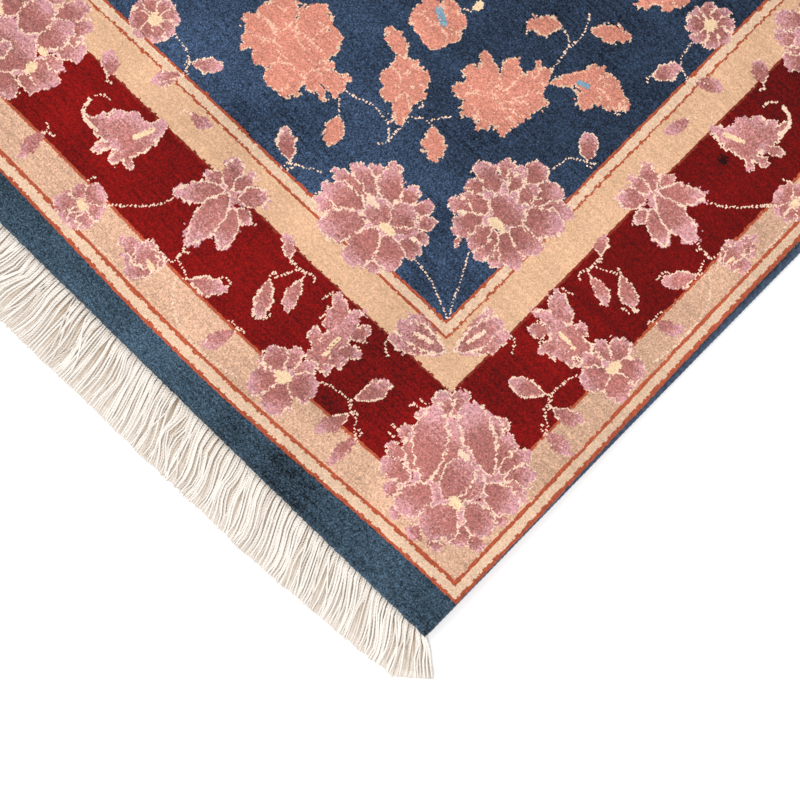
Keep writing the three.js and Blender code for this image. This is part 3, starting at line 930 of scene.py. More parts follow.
def closed_slab(top, far_z):
    """A grid of corners closed on its other side: walls join its edge to a loop at
    far_z, and a fan of triangles closes that. Gives corners, faces, the UV map and, for
    each corner, the number of the grid's corner that it lies under."""
    n = np.arange(top[..., 0].size).reshape(top.shape[:2])
    loop = rim(n)
    points = top.reshape(-1, 3)
    other = points[loop] * (1, 1, 0) + (0, 0, far_z)
    here = np.arange(len(loop))
    there = np.roll(here, -1)
    first, middle = len(points), len(points) + len(loop)
    faces = around_cells(n).reshape(-1, 4)
    walls = np.stack([first + here, first + there, loop[there], loop], 1)
    fan = np.stack([first + there, first + here, np.full(len(loop), middle)], 1)
    flat = np.meshgrid(np.linspace(0, 1, n.shape[1]), np.linspace(0, GRID_SHARE, n.shape[0]))
    a, b, one = here / len(loop), (here + 1) / len(loop), np.ones(len(loop))
    low, high = one * WALL_STRIP[0], one * WALL_STRIP[1]
    uv = np.vstack([
        np.stack(flat, -1).reshape(-1, 2)[faces].reshape(-1, 2),
        np.stack([a, low, b, low, b, high, a, high], 1).reshape(-1, 2),
        np.stack([b, one * FAN_STRIP, a, one * FAN_STRIP, (a + b) / 2, one], 1).reshape(-1, 2),
    ])
    points = np.vstack([points, other, np.r_[other[:, :2].mean(0), far_z]])
    return points, [*faces.tolist(), *walls.tolist(), *fan.tolist()], uv, np.r_[n.ravel(), loop, 0]


# %% [markdown]
# Each face of the pile keeps the colours of its four tufts in four attributes, named
# after the tuft's row and column in the face. A further attribute counts faces across
# and along, so its fraction tells the material which of the four tufts a point lies in.

# %% The pile in four quarters
COTTON = np.append(to_linear([0.88, 0.83, 0.75]), 0)
CORNERS_OF_FACET = ((0, 0), (0, 1), (1, 0), (1, 1))
yarn = np.dstack([tuft_colour, silky])
fibres = np.pad(fibres[::FACET, ::FACET], 1, mode="edge")
facets = {f"yarn_{i}{j}": np.pad(yarn[i::FACET, j::FACET], ((1, 1), (1, 1), (0, 0)), mode="edge")
          for i, j in CORNERS_OF_FACET}


def with_edges(grid, hidden):
    """A value for each face of a slab: the grid's, its outermost again for the walls,
    and one value for the fan below."""
    flat = grid.reshape(len(grid), grid.shape[1], -1)
    edge = np.vstack([flat[0], flat[:, -1], flat[-1, ::-1], flat[::-1, 0]])
    whole = np.vstack([flat.reshape(-1, flat.shape[2]), edge, np.tile(hidden, (len(edge), 1))])
    return whole if grid.ndim == 3 else whole[:, 0]


down, right = corners.shape[0], corners.shape[1]
count = np.stack([*np.meshgrid(np.arange(right), np.arange(down)), np.ones((down, right))], -1)
quarters = []
for end, r0, r1 in (("near", 0, down // 2), ("far", down // 2, down - 1)):
    for side, c0, c1 in (("left", 0, right // 2), ("right", right // 2, right - 1)):
        points, faces, uv, above = closed_slab(corners[r0:r1 + 1, c0:c1 + 1], PILE_FLOOR)
        four = {name: with_edges(facet[r0:r1, c0:c1], COTTON) for name, facet in facets.items()}
        quarters.append(make_piece(
            f"pile_{end}_{side}", points, faces, uv, **four,
            fibres=with_edges(fibres[r0:r1, c0:c1], 1.0),
            tuft_place=count[r0:r1 + 1, c0:c1 + 1].reshape(-1, 3)[above]))

# %% [markdown]
# ## The web and its back
# Below the pile lies the web, 2.5 mm of cotton warp and weft with the knots tied into
# it. Seen from below it shows the pattern mirrored, in small flat knots. There it needs
# no relief of its own, so one face stands for 4 by 4 knots, and an attribute keeps their
# yarns: each of its four channels holds one row of four yarn numbers, as the digits of a
# number to base 16. The material reads the digits back. Every second tuft of the chart
# is enough for the back.

# %% The web
PACK, BASE = 4, 16  # knots along a face, and the base of their numbers
BACK_COLUMNS, BACK_ROWS = 132, 184
WEB_UNDER, WEB_UNEVEN = 0.12, 0.1
coarse = tufts[::FACET, ::FACET]
spare = (BACK_ROWS * PACK - coarse.shape[0], BACK_COLUMNS * PACK - coarse.shape[1])
packed = np.pad(coarse, [(n // 2, n - n // 2) for n in spare], mode="edge")
packed = packed.reshape(BACK_ROWS, PACK, BACK_COLUMNS, PACK)
digits = (packed * BASE ** np.arange(PACK)).sum(3).transpose(0, 2, 1)
column = FACET * (np.arange(BACK_COLUMNS + 1) * PACK - spare[1] // 2)
row = FACET * (np.arange(BACK_ROWS + 1) * PACK - spare[0] // 2) - BAND_ROWS
x, y = place_tufts(np.clip(column, 0, TUFTS_ACROSS),
                   np.clip(row, -BAND_ROWS, TUFTS_ALONG + BAND_ROWS), web_side, web_end)
under = np.stack([x, y, WEB_UNDER + WEB_UNEVEN * clouds(x.shape, (40, 30), 31)], -1)
points, faces, uv, _ = closed_slab(under[::-1], WEB_TOP)
hidden = np.zeros((len(faces) - digits[..., 0].size, PACK))
i, j = np.meshgrid(np.arange(BACK_COLUMNS + 1) * PACK, np.arange(BACK_ROWS, -1, -1) * PACK)
place = np.zeros((len(points), 3))
place[:i.size] = np.stack([i.ravel(), j.ravel(), np.ones(i.size)], 1)
web = make_piece("web", points, faces, uv, tuft_place=place,
                 rows=np.vstack([digits[::-1].reshape(-1, PACK), hidden]))

# %% [markdown]
# ## The selvedges and the headings
# Each long side is overcast: navy wool is wound round a bundle of warps, which gives a
# cord with slanting ribs. It is a closed section carried along the side. Near one corner
# the pile lies over it, so it is lower and narrower there and swells further along. At
# each end a narrow row of knots holds the fringe, hidden under the lip of the pile. It is
# the same ribbed section, carried along the end.

# %% Ribbed cords
SECTION = np.array([(0, 0), (0.8, 0), (1, 0.25), (1, 0.6), (0.8, 0.92), (0.5, 1), (0.2, 0.9),
                    (0, 0.6)])
SECTION_MIDDLE = (0.5, 0.45)
FURROW, RIB_UNEVEN, RIB_SLANT = 0.90, 0.05, 1.2  # size of every second ring, noise, mm


def cord_points(rings, half, edge, width, height, along_end):
    """Rings of the section every half rib, from -half to half along the cord. The corners
    of every second ring draw in towards the section's middle, and the ribs slant because
    each corner is shifted along the cord by its height. The functions edge, width and
    height give where the section begins and its size at each place."""
    place = np.linspace(-half, half, rings)[:, None]
    squeeze = np.where(np.arange(rings) % 2, FURROW, 1.0)[:, None]
    squeeze = squeeze * (1 + RIB_UNEVEN * (clouds((rings, 1), (rings // 6, 1), 51) - 0.5))
    out, up = [middle + (SECTION[:, axis] - middle) * squeeze
               for axis, middle in enumerate(SECTION_MIDDLE)]
    off = edge(place) + out * width(place)
    slant = np.clip(place + RIB_SLANT * up, -half, half)
    axes = [slant, -off] if along_end else [off, slant]
    return np.stack([*axes, up * height(place)], -1)


# %% Maps of a ribbed cord
CORD_COLUMNS, CORD_FILL = 24, 0.94  # lengths of cord beside each other, share they fill


def box_corners(left, right, low, high):
    """UV corners of faces whose first edge is the high one."""
    return np.stack([left, high, right, high, right, low, left, low], -1).reshape(-1, 2)


def cord_maps(rings, sides, rib):
    """The bake map cuts the cord into lengths that lie side by side. The map run has the
    way round as u and the millimetres along as v."""
    wrap = np.arange(rings - 1) / (rings - 1) * CORD_COLUMNS
    left = np.floor(wrap)[:, None] + np.arange(sides) / sides * CORD_FILL + 0.03
    left = left / CORD_COLUMNS
    low = (wrap % 1)[:, None] * CORD_FILL + 0 * left
    uv = box_corners(left, left + CORD_FILL / sides / CORD_COLUMNS,
                     low, low + CORD_FILL * CORD_COLUMNS / (rings - 1))
    k, r = np.meshgrid(np.arange(sides) / sides, np.arange(rings - 1) * rib / 2)
    run = box_corners(k, k + 1 / sides, r, r + rib / 2)
    angle = np.arange(sides)
    cap = 0.5 + 0.5 * np.stack([np.cos(angle), np.sin(angle)], 1)
    caps = np.vstack([cap * 0.01 + (0.0, 0.985), cap * 0.01 + (0.02, 0.985)])
    return np.vstack([uv, caps]), np.vstack([run, caps])


def ribbed_cord(name, half, edge, width, height, rib, turn, along_end=False):
    """A closed ribbed cord along the right side or the near end, or turned half round."""
    rings, sides = int(4 * half / rib), len(SECTION)
    points = cord_points(rings, half, edge, width, height, along_end)
    n = np.arange(rings * sides).reshape(rings, sides)
    faces = around_cells(np.hstack([n, n[:, :1]])).reshape(-1, 4)[:, ::-1]
    caps = [n[0].tolist(), n[-1, ::-1].tolist()]
    uv, run = cord_maps(rings, sides, rib)
    return make_piece(name, points.reshape(-1, 3) * (turn, turn, 1), [*faces.tolist(), *caps],
                      uv, soft=True, run=run)


# %% The overcast sides and the headings
SELVEDGE_HEIGHT, COVERED_HEIGHT, HEADING_HEIGHT = 4.4, 2.2, 1.9
NARROWED = 0.8  # mm that the selvedge loses under the pile
SELVEDGE_RIB, HEADING_RIB = 2.8, 3.4
SELVEDGE_SHORT, HEADING_SHORT = 1.5, 1.2  # mm by which they stop before the corner


def selvedge_edge(y):
    """Where the selvedge begins: a gap beyond the web."""
    return web_side(y) + GAP


def selvedge_height(y):
    """Half as high where the pile lies over it, then swelling to its full height."""
    rise = smooth(y + HALF_LENGTH, PILE_REACH, CORD_REACH)
    return COVERED_HEIGHT + (SELVEDGE_HEIGHT - COVERED_HEIGHT) * rise


def selvedge_width(y):
    """A little narrower where the pile lies over it."""
    return SELVEDGE_WIDTH - NARROWED * (1 - smooth(y + HALF_LENGTH, 120, PILE_REACH))


def heading_edge(x):
    """Where the heading begins: a gap beyond the web's end."""
    return web_end(x) + GAP


cords = [ribbed_cord(f"overcast_{side}", HALF_LENGTH - SELVEDGE_SHORT, selvedge_edge,
                     selvedge_width, selvedge_height, SELVEDGE_RIB, turn)
         for side, turn in (("right", 1), ("left", -1))]
headings = [ribbed_cord(f"heading_{end}", web_side(-HALF_LENGTH) - HEADING_SHORT, heading_edge,
                        lambda x: STRIP_WIDTH, lambda x: HEADING_HEIGHT, HEADING_RIB, turn,
                        along_end=True)
            for end, turn in (("near", 1), ("far", -1))]

# %% [markdown]
# ## The fringes
# The warps end in knots along each short side, and their tails are the fringe. A strand
# is a five-sided tube on a curved path. It starts under the lip of the pile and ends on
# one line, where the fringe was cut. How far it sweeps sideways depends on where it
# stands: at one corner the strands fan out. Two layers and some stray strands cross over
# each other, and a thin bed under them stands for the strands that lie lowest. Whole
# arrays hold all strands at once: strand by ring by corner.

# %% Sweep and reach along the end
SWEEP = np.array([  # x of the root in mm, how far the tip lies sideways from it
    (-396, -20), (-370, -18), (-250, -13), (0, -10), (72, -8), (127, 1), (176, 10.4),
    (285, 13.4), (340, 14.6), (380, 16.5), (396, 19),
])
CUT_LINE = np.array([  # x of the tip in mm, how far it lies beyond the pile
    (-418, 15), (-400, 28), (-350, 34), (-250, 37), (116, 38.3), (285, 35.8), (320, 34.4),
    (397, 28), (415, 12),
])
RINGS, ROOT_DEPTH = 7, 2.0


def tail_paths(start, sweep, wave):
    """Paths of tails in plan: strand by ring by x and y. The tail leaves the edge nearly
    square, bends over to its sweep, and a sine wave is laid over that."""
    t = np.linspace(0, 1, RINGS)[None]
    shift = np.interp(start, *SWEEP.T) + sweep
    x = start[:, None] + shift[:, None] * (0.5 * t + 0.5 * smooth(t, 0.05, 0.9)) + wave(t)
    reach = np.interp(x[:, -1], *CUT_LINE.T)
    y = ROOT_DEPTH - pile_end(start)[:, None] - t * (ROOT_DEPTH + reach[:, None])
    return x, y


# %% The bed under the strands
# The map run draws strands on the bed with painted shade: dark lines between them.
BED_COLUMNS, BED_TOP, BED_UNDER, BED_TEAR = 110, 0.42, 0.06, 1.6
BED_STEP = 3.4  # mm across for one step of the map run, which draws strands on the bed
BED_STRIPS, WALL_SHARE = (0.962, 0.974, 0.986), 0.006  # on the bake map


def fringe_bed(low, high):
    """A thin slab of two equal grids, top and underside, with walls between them: gives
    corners, faces, a UV map and the run map, which counts pairs of strands across."""
    x, y = tail_paths(np.linspace(low, high, BED_COLUMNS), 0, lambda t: 0 * t)
    y[:, -1] += np.random.default_rng(63).uniform(0, BED_TEAR, BED_COLUMNS)
    x, y = x.T[::-1], y.T[::-1]
    n = np.arange(x.size).reshape(x.shape)
    loop, top = rim(n), around_cells(n).reshape(-1, 4)
    walls = np.stack([loop + x.size, np.roll(loop, -1) + x.size, np.roll(loop, -1), loop], 1)
    points = np.vstack([np.stack([x, y, np.full(x.shape, z)], -1).reshape(-1, 3)
                        for z in (BED_TOP, BED_UNDER)])
    faces = np.vstack([top, top[:, ::-1] + x.size, walls])
    flat = np.meshgrid(np.linspace(0, 1, x.shape[1]), np.linspace(0, 1, x.shape[0]))
    flat = np.stack(flat, -1).reshape(-1, 2)
    sheets = [flat[top].reshape(-1, 2), flat[top[:, ::-1]].reshape(-1, 2)]
    k = np.arange(len(loop) + 1) / len(loop)
    none = 0 * k[1:]
    wall = np.stack([k[:-1], none, k[1:], none, k[1:], none + 1, k[:-1], none + 1], 1).reshape(-1, 2)
    uv = np.vstack([sheets[0] * (1, 0.008) + (0, BED_STRIPS[0]),
                    sheets[1] * (1, 0.008) + (0, BED_STRIPS[1]),
                    wall * (1, WALL_SHARE) + (0, BED_STRIPS[2])])
    lie = ((high - low) / BED_STEP, 0)
    return points, faces, uv, np.vstack([sheets[0] * lie, sheets[1] * lie, wall])


# %% [markdown]
# Neighbouring strands share much of their sweep and their waves, so they lean together in
# clumps, as warps that were knotted together do. What a clump shares is drawn at 75 places
# along the end and read between them, and each strand adds a little of its own.

# %% Paths of the strands
STRANDS, THICK, CLUMPS = 790, 0.63, 75
PAIRING, STRAYS, MOST_SWEEP = 0.28, 0.1, 13
ROOT_HEIGHT, SETTLED_AT = 2.7, 0.34  # mm, and the share of the length by which it lies flat
LAYER_STEP, STRAY_STEP = 0.85, 0.7


def strand_paths(draw, low, high):
    """Middle lines of all strands, strand by ring by axis, and each strand's layer. The
    height falls from the heading's to that of the bed or of the strands below."""
    number = np.arange(STRANDS)
    pitch = (high - low) / STRANDS
    start = low + pitch * (number + 0.5) + PAIRING * np.where(number // 2 % 2, 1, -1)
    start = start + draw.uniform(-0.15, 0.15, STRANDS)
    layer, stray = number % 2, draw.random(STRANDS) < STRAYS
    places = np.linspace(low, high, CLUMPS)
    sweep = np.interp(start, places, draw.normal(0, 1.3, CLUMPS)) + draw.normal(0, 1.0, STRANDS)
    sweep = np.clip(sweep + stray * draw.normal(0, 6, STRANDS), -MOST_SWEEP, MOST_SWEEP)
    sweep = sweep * smooth(high - start, -6, 14)  # the last strands of the fan stay in order
    swing = np.interp(start, places, draw.normal(0, 1.3, CLUMPS)) + draw.normal(0, 0.4, STRANDS)
    turns = np.interp(start, places, draw.uniform(0.7, 1.15, CLUMPS))
    phase = np.interp(start, places, draw.normal(0, 0.16, CLUMPS))

    def wave(t):
        """A sine of the strand's own swing, turns and phase, which grows from the root."""
        whole = np.sin(math.tau * (t * turns[:, None] + phase[:, None]))
        return swing[:, None] * np.minimum(1, 3 * t) * whole

    x, y = tail_paths(start, sweep, wave)
    t = np.linspace(0, 1, RINGS)[None]
    y = y + t * draw.uniform(0, 2.0, STRANDS)[:, None]
    rest = THICK + BED_TOP - 0.1 + layer[:, None] * LAYER_STEP + stray[:, None] * STRAY_STEP
    z = rest + (ROOT_HEIGHT - rest) * (1 - smooth(t, 0, SETTLED_AT)) + 0.1 * draw.normal(0, 1, x.shape)
    return np.stack([x, y, z], -1), layer


# %% Tubes round the paths
SIDES, BLUNT_TIP = 5, 0.5


def tube_points(draw, path, layer):
    """Corners of the tubes, five round each place of the path, and one more at each tip."""
    t = np.linspace(0, 1, RINGS)[None]
    ahead = np.gradient(path, axis=1)
    ahead = ahead / np.linalg.norm(ahead, axis=2, keepdims=True)
    across = np.cross(ahead, (0, 0, 1))
    across = across / np.linalg.norm(across, axis=2, keepdims=True)
    over = np.cross(across, ahead)
    radius = THICK * draw.uniform(0.9, 1.1, (STRANDS, 1)) * (1 - 0.3 * smooth(t, 0.9, 1))
    radius = radius * (1.12 - 0.12 * layer[:, None])
    radius = radius * (1 + 0.05 * draw.normal(0, 1, radius.shape))
    spin = math.tau * np.arange(SIDES) / SIDES + draw.random((STRANDS, 1, 1))
    ring = np.cos(spin)[..., None] * across[:, :, None] + np.sin(spin)[..., None] * over[:, :, None]
    points = path[:, :, None] + radius[..., None, None] * ring
    return np.vstack([points.reshape(-1, 3), path[:, -1] + ahead[:, -1] * BLUNT_TIP])


def tube_faces(n, tip):
    """Corner numbers of the quads along each tube and of the triangles at its tip, from
    the numbers n of strand by ring by corner, the first corner again at the end."""
    quads = around_cells(n)[..., [0, 3, 2, 1]].reshape(-1, 4)
    cones = np.stack([n[:, -1, :-1], np.broadcast_to(tip, n[:, -1, 1:].shape), n[:, -1, 1:]], -1)
    return quads, cones.reshape(-1, 3)


# %% Maps of the strands
MAP_ROWS, MAP_FILL = 30, 0.9  # the bake map gives each strand a cell of 30 by 30
BUTT_SIZE = 0.012


def strand_maps(path):
    """UV maps of the tubes, their tips and their butt ends: for baking, a cell for each
    strand, and for the yarn's twist, the way round as u and the millimetres along as v."""
    n = np.arange(STRANDS * RINGS * (SIDES + 1)).reshape(STRANDS, RINGS, SIDES + 1)
    quads, cones = tube_faces(n, 0)
    cell = np.stack(np.divmod(np.arange(STRANDS), MAP_ROWS)[::-1], 1)
    flat = np.meshgrid(np.arange(SIDES + 1) / SIDES * MAP_FILL, np.arange(RINGS) / RINGS * MAP_FILL)
    at = (cell[:, None, None] + np.stack(flat, -1)[None] + 0.04) / MAP_ROWS
    top = at[:, -1] + (0, 0.07 / MAP_ROWS)
    angle = math.tau * np.arange(SIDES) / SIDES
    butt = BUTT_SIZE * np.stack([np.cos(angle), np.sin(angle)], 1)
    tips = at.reshape(-1, 2)[cones]
    tips[:, 1] = ((top[:, :-1] + top[:, 1:]) / 2).reshape(-1, 2)
    uv = [at.reshape(-1, 2)[quads], tips, (cell[:, None] + 0.97 + butt) / MAP_ROWS]
    step = np.hypot(np.diff(path[..., 0]), np.diff(path[..., 1])).mean(1)[:, None, None]
    k, r = np.meshgrid(np.arange(SIDES + 1) / SIDES, np.arange(RINGS) * 1.0)
    lie = np.stack([k + 0 * step, r * step], -1)
    tips = lie.reshape(-1, 2)[cones]
    tips[:, 1] = tips[:, 0] + (0.1, 0.5)
    run = [lie.reshape(-1, 2)[quads], tips, lie[:, 0, :-1]]
    return [np.vstack([part.reshape(-1, 2) for part in parts]) for parts in (uv, run)]


# %% The fringes
OVERHANG, INSET = 3.4, 0.8  # mm past the web at the right corner, and short of it at the left
# The first number is the random tone of single strands. The rest is painted shade: the lower layer is
# tan, and the bed is lighter towards the tips, dark at the roots and dark on its walls.
TINT_NOISE, LOWER_SHADE = 0.8, 1.9
BED_SHADES, BED_WALL_SHADE = (-1.8, -5.2), -4.0  # lighter towards the tips, dark at the roots


def fringe(name, turn, seed):
    """Strands and their bed as one mesh: the near end's, or turned half round."""
    draw = np.random.default_rng(seed)
    low, high = INSET - web_side(HALF_LENGTH), web_side(-HALF_LENGTH) + OVERHANG
    path, layer = strand_paths(draw, low, high)
    points = tube_points(draw, path, layer)
    n = np.arange(STRANDS * RINGS * SIDES).reshape(STRANDS, RINGS, SIDES)
    tip = n.size + np.arange(STRANDS)[:, None]
    quads, cones = tube_faces(np.concatenate([n, n[..., :1]], 2), tip)
    bed_points, bed_faces, bed_uv, bed_run = fringe_bed(low, high)
    faces = [*quads.tolist(), *cones.tolist(), *n[:, 0].tolist(),
             *(bed_faces + len(points)).tolist()]
    points = np.vstack([points, bed_points]) * (turn, turn, 1)
    uv, run = strand_maps(path)
    # Each strand's random tone, with painted shade that makes the lower layer tan; the bed's values are
    # all painted shade.
    tint = draw.normal(0, TINT_NOISE, STRANDS) - LOWER_SHADE * (layer == 0)
    bed_tint = np.full(len(bed_faces), BED_WALL_SHADE)
    bed_tint[:(RINGS - 1) * (BED_COLUMNS - 1)] = np.repeat(np.linspace(*BED_SHADES, RINGS - 1),
                                                           BED_COLUMNS - 1)
    tints = [np.repeat(tint, (RINGS - 1) * SIDES), np.repeat(tint, SIDES), tint, bed_tint]
    return make_piece(name, points, faces, np.vstack([uv, bed_uv]), soft=True,
                      run=np.vstack([run, bed_run]), tint=np.concatenate(tints))


fringes = [fringe("fringe_tails_near", 1, 61), fringe("fringe_tails_far", -1, 62)]

# %% [markdown]
# ## Wool, silk and cotton
# Close to, cut wool is a field of tiny bristles: no clear highlight, a soft sheen at the
# rims, and a fine grain. One shader group makes that grain, as a brightness and a height,
# from noise on the object's own coordinates. A second group makes the twist of spun or
# wound yarn: a slanted wave on a map that runs round and along the yarn.

# %% Node helpers
def new_group(name, inputs, outputs):
    """An empty node group with number inputs and outputs."""
    group = bpy.data.node_groups.new(name, "ShaderNodeTree")
    for key, value in inputs.items():
        socket = group.interface.new_socket(key, in_out="INPUT", socket_type="NodeSocketFloat")
        socket.default_value = value
    for key in outputs:
        group.interface.new_socket(key, in_out="OUTPUT", socket_type="NodeSocketFloat")
    return group, group.nodes.new("NodeGroupInput"), group.nodes.new("NodeGroupOutput")


def math_node(tree, operation, a, b=None, c=None):
    """A Math node. Numbers are set on it and sockets are linked to it."""
    node = tree.nodes.new("ShaderNodeMath")
    node.operation = operation
    for socket, value in zip(node.inputs, (a, b, c)):
        if isinstance(value, (int, float)):
            socket.default_value = value
        elif value is not None:
            tree.links.new(value, socket)
    return node.outputs[0]


# %% The grain of tufts
LOCKS_SCALE, LOCKS_SHARE = 0.35, 0.12  # of the coarser noise, against the finer one
DARKEST = 0.2


def tuft_grain_group():
    """Fine noise for single fibres plus a coarser one for their locks, as a height, and
    1 + Depth times the height as a brightness."""
    group, given, made = new_group("tuft_grain", {"Scale": 900.0, "Depth": 0.2}, ["Shade", "Height"])
    where = group.nodes.new("ShaderNodeTexCoord").outputs["Object"]
    values = []
    for share, detail in ((1.0, 3.0), (LOCKS_SCALE, 1.0)):
        noise = group.nodes.new("ShaderNodeTexNoise")
        noise.inputs["Detail"].default_value = detail
        noise.inputs["Roughness"].default_value = 0.6
        group.links.new(where, noise.inputs["Vector"])
        group.links.new(math_node(group, "MULTIPLY", given.outputs["Scale"], share),
                        noise.inputs["Scale"])
        values.append(math_node(group, "SUBTRACT", noise.outputs["Fac"], 0.5))
    locks = math_node(group, "MULTIPLY", values[1], LOCKS_SHARE)
    mixed = math_node(group, "ADD", values[0], locks)
    shade = math_node(group, "MULTIPLY_ADD", mixed, given.outputs["Depth"], 1.0)
    group.links.new(math_node(group, "MAXIMUM", shade, DARKEST), made.inputs["Shade"])
    group.links.new(mixed, made.inputs["Height"])
    return group


# %% The twist of yarn
def twist_group():
    """sin(2 pi (round * Plies + along / Pitch)) on the map called run."""
    group, given, made = new_group("yarn_twist", {"Pitch": 2.0, "Plies": 2.0}, ["Height"])
    run = group.nodes.new("ShaderNodeUVMap")
    run.uv_map = "run"
    parts = group.nodes.new("ShaderNodeSeparateXYZ")
    group.links.new(run.outputs[0], parts.inputs[0])
    turns = math_node(group, "DIVIDE", parts.outputs["Y"], given.outputs["Pitch"])
    turns = math_node(group, "MULTIPLY_ADD", parts.outputs["X"], given.outputs["Plies"], turns)
    wave = math_node(group, "SINE", math_node(group, "MULTIPLY", turns, math.tau))
    group.links.new(wave, made.inputs["Height"])
    return group


TUFT_GRAIN, TWIST = tuft_grain_group(), twist_group()
print("groups:", TUFT_GRAIN.name, TWIST.name)

# %% [markdown]
# All four materials are made in one way: a Principled shader with a sheen, the grain on
# its colour and the grain's height in a bump. What differs is where the colour comes
# from, so a small class holds the shared nodes and each material adds its own.


# %% A yarn's material
class YarnMaterial:
    """A material with the grain of yarn, whose colour is set with paint."""

    def __init__(self, name, roughness, sheen, scale, depth, bump=(0.5, 0.0004), specular=0.2):
        """Scale and depth are the grain's, and bump is its strength and its metres."""
        self.material = bpy.data.materials.new(name)
        self.material.use_nodes = True
        self.tree = self.material.node_tree
        self.shader = self.tree.nodes["Principled BSDF"]
        for key, value in (("Roughness", roughness), ("Specular IOR Level", specular),
                           ("Sheen Weight", sheen), ("Sheen Roughness", 0.45)):
            self.shader.inputs[key].default_value = value
        self.grain = self.node("ShaderNodeGroup")
        self.grain.node_tree = TUFT_GRAIN
        self.grain.inputs["Scale"].default_value = scale
        self.grain.inputs["Depth"].default_value = depth
        self.bump = self.node("ShaderNodeBump")
        self.bump.inputs["Strength"].default_value = bump[0]
        self.bump.inputs["Distance"].default_value = bump[1]
        self.link(self.grain.outputs["Height"], self.bump.inputs["Height"])
        self.link(self.bump.outputs["Normal"], self.shader.inputs["Normal"])

    def node(self, kind):
        """A new node of the tree."""
        return self.tree.nodes.new(kind)

    def link(self, start, end):
        """A link from an output to an input."""
        self.tree.links.new(start, end)

    def math(self, operation, *values):
        """A Math node of the tree."""
        return math_node(self.tree, operation, *values)

    def attribute(self, name):
        """An Attribute node that reads the named values of the mesh."""
        node = self.node("ShaderNodeAttribute")
        node.attribute_name = name
        return node

    def place(self):
        """The outputs X, Y and Z of the attribute that counts faces or knots."""
        parts = self.node("ShaderNodeSeparateXYZ")
        self.link(self.attribute("tuft_place").outputs["Vector"], parts.inputs[0])
        return parts.outputs

    def choose(self, chance, a, b):
        """A Mix node: colour a where chance is 0, b where it is 1."""
        node = self.node("ShaderNodeMix")
        node.data_type = "RGBA"
        for key, value in (("Factor", chance), ("A", a), ("B", b)):
            self.link(value, node.inputs[key])
        return node.outputs["Result"]

    def scaled(self, colour, factor):
        """A colour, three numbers or a socket, times a number's socket."""
        node = self.node("ShaderNodeVectorMath")
        node.operation = "SCALE"
        if isinstance(colour, bpy.types.NodeSocket):
            self.link(colour, node.inputs[0])
        else:
            node.inputs[0].default_value = tuple(colour)
        self.link(factor, node.inputs["Scale"])
        return node.outputs[0]

    def paint(self, colour):
        """Base colour: the colour times the grain."""
        self.link(self.scaled(colour, self.grain.outputs["Shade"]), self.shader.inputs["Base Color"])

    def cover(self, pieces):
        """Gives the material to the pieces."""
        for piece in pieces:
            piece.data.materials.append(self.material)
        print(self.material.name, "on", [piece.name for piece in pieces])


# %% The pile's wool and silk
SPLIT_SCALE, SPLIT_WANDER, SPLIT_LOW = 1300.0, 0.5, 0.25  # the line between two tufts wanders
WOOL_ROUGHNESS, SILK_GAIN = 0.93, -0.28
wool = YarnMaterial("cut_pile", 0.9, 0.06, 1400.0, 1.3, bump=(0.8, 0.0007), specular=0.15)
place = wool.place()
unrest = wool.node("ShaderNodeTexNoise")
unrest.inputs["Scale"].default_value = SPLIT_SCALE
unrest.inputs["Detail"].default_value = 1.0
wool.link(wool.node("ShaderNodeTexCoord").outputs["Object"], unrest.inputs["Vector"])
split = wool.math("MULTIPLY_ADD", unrest.outputs["Fac"], SPLIT_WANDER, SPLIT_LOW)
second_col, second_row = (
    wool.math("GREATER_THAN", wool.math("FRACT", place[axis]), split) for axis in "XY")
four = [wool.attribute(f"yarn_{i}{j}") for i, j in CORNERS_OF_FACET]
lower, upper = (wool.choose(second_col, four[k].outputs["Color"], four[k + 1].outputs["Color"])
                for k in (0, 2))
wool.paint(wool.choose(second_row, lower, upper))
wool.link(wool.attribute("fibres").outputs["Fac"], wool.grain.inputs["Depth"])
matt = wool.math("MULTIPLY_ADD", four[0].outputs["Alpha"], SILK_GAIN, WOOL_ROUGHNESS)
wool.link(matt, wool.shader.inputs["Roughness"])
wool.cover(quarters)

# %% [markdown]
# The back's material finds, for a point, the knot that it lies in and that knot's column
# and row in the face's block of 4 by 4. The row picks a channel of the attribute, the
# column picks the digit, and a colour ramp with one step to a yarn turns the number into
# its colour. The same place gives each knot a small round bump.

# %% The knotted back
back = YarnMaterial("knotted_back", 0.92, 0.1, 900.0, 0.3, bump=(0.6, 0.0004))
rows_node = back.attribute("rows")
channels = back.node("ShaderNodeSeparateColor")
back.link(rows_node.outputs["Color"], channels.inputs[0])
place = back.place()
step_x, step_y = (back.math("FLOOR", back.math("MODULO", place[axis], float(PACK)))
                  for axis in "XY")
word = 0.0
for number, channel in enumerate([*channels.outputs[:3], rows_node.outputs["Alpha"]]):
    chosen = back.math("COMPARE", step_y, float(number), 0.25)
    word = back.math("MULTIPLY_ADD", chosen, channel, word)
divisor = back.math("POWER", float(BASE), step_x)
digit = back.math("MODULO", back.math("FLOOR", back.math("DIVIDE", word, divisor)), float(BASE))

# %% Colours and relief of the back
FADED, DUSTY = 0.82, 0.03
ramp = back.node("ShaderNodeValToRGB")
ramp.color_ramp.interpolation = "CONSTANT"
while len(ramp.color_ramp.elements) < len(shades):
    ramp.color_ramp.elements.new(1.0)
for number, colour in enumerate(shades):
    ramp.color_ramp.elements[number].position = number / BASE
    ramp.color_ramp.elements[number].color = (*(FADED * colour + DUSTY), 1)
back.link(back.math("DIVIDE", back.math("ADD", digit, 0.5), float(BASE)), ramp.inputs["Fac"])
back.paint(ramp.outputs["Color"])
domes = [back.math("ABSOLUTE", back.math("SINE", back.math("MULTIPLY", place[axis], math.pi)))
         for axis in "XY"]
knob = back.math("MULTIPLY", *domes)
back.link(back.math("MULTIPLY_ADD", back.grain.outputs["Height"], 0.4, knob),
          back.bump.inputs["Height"])
back.cover([web])
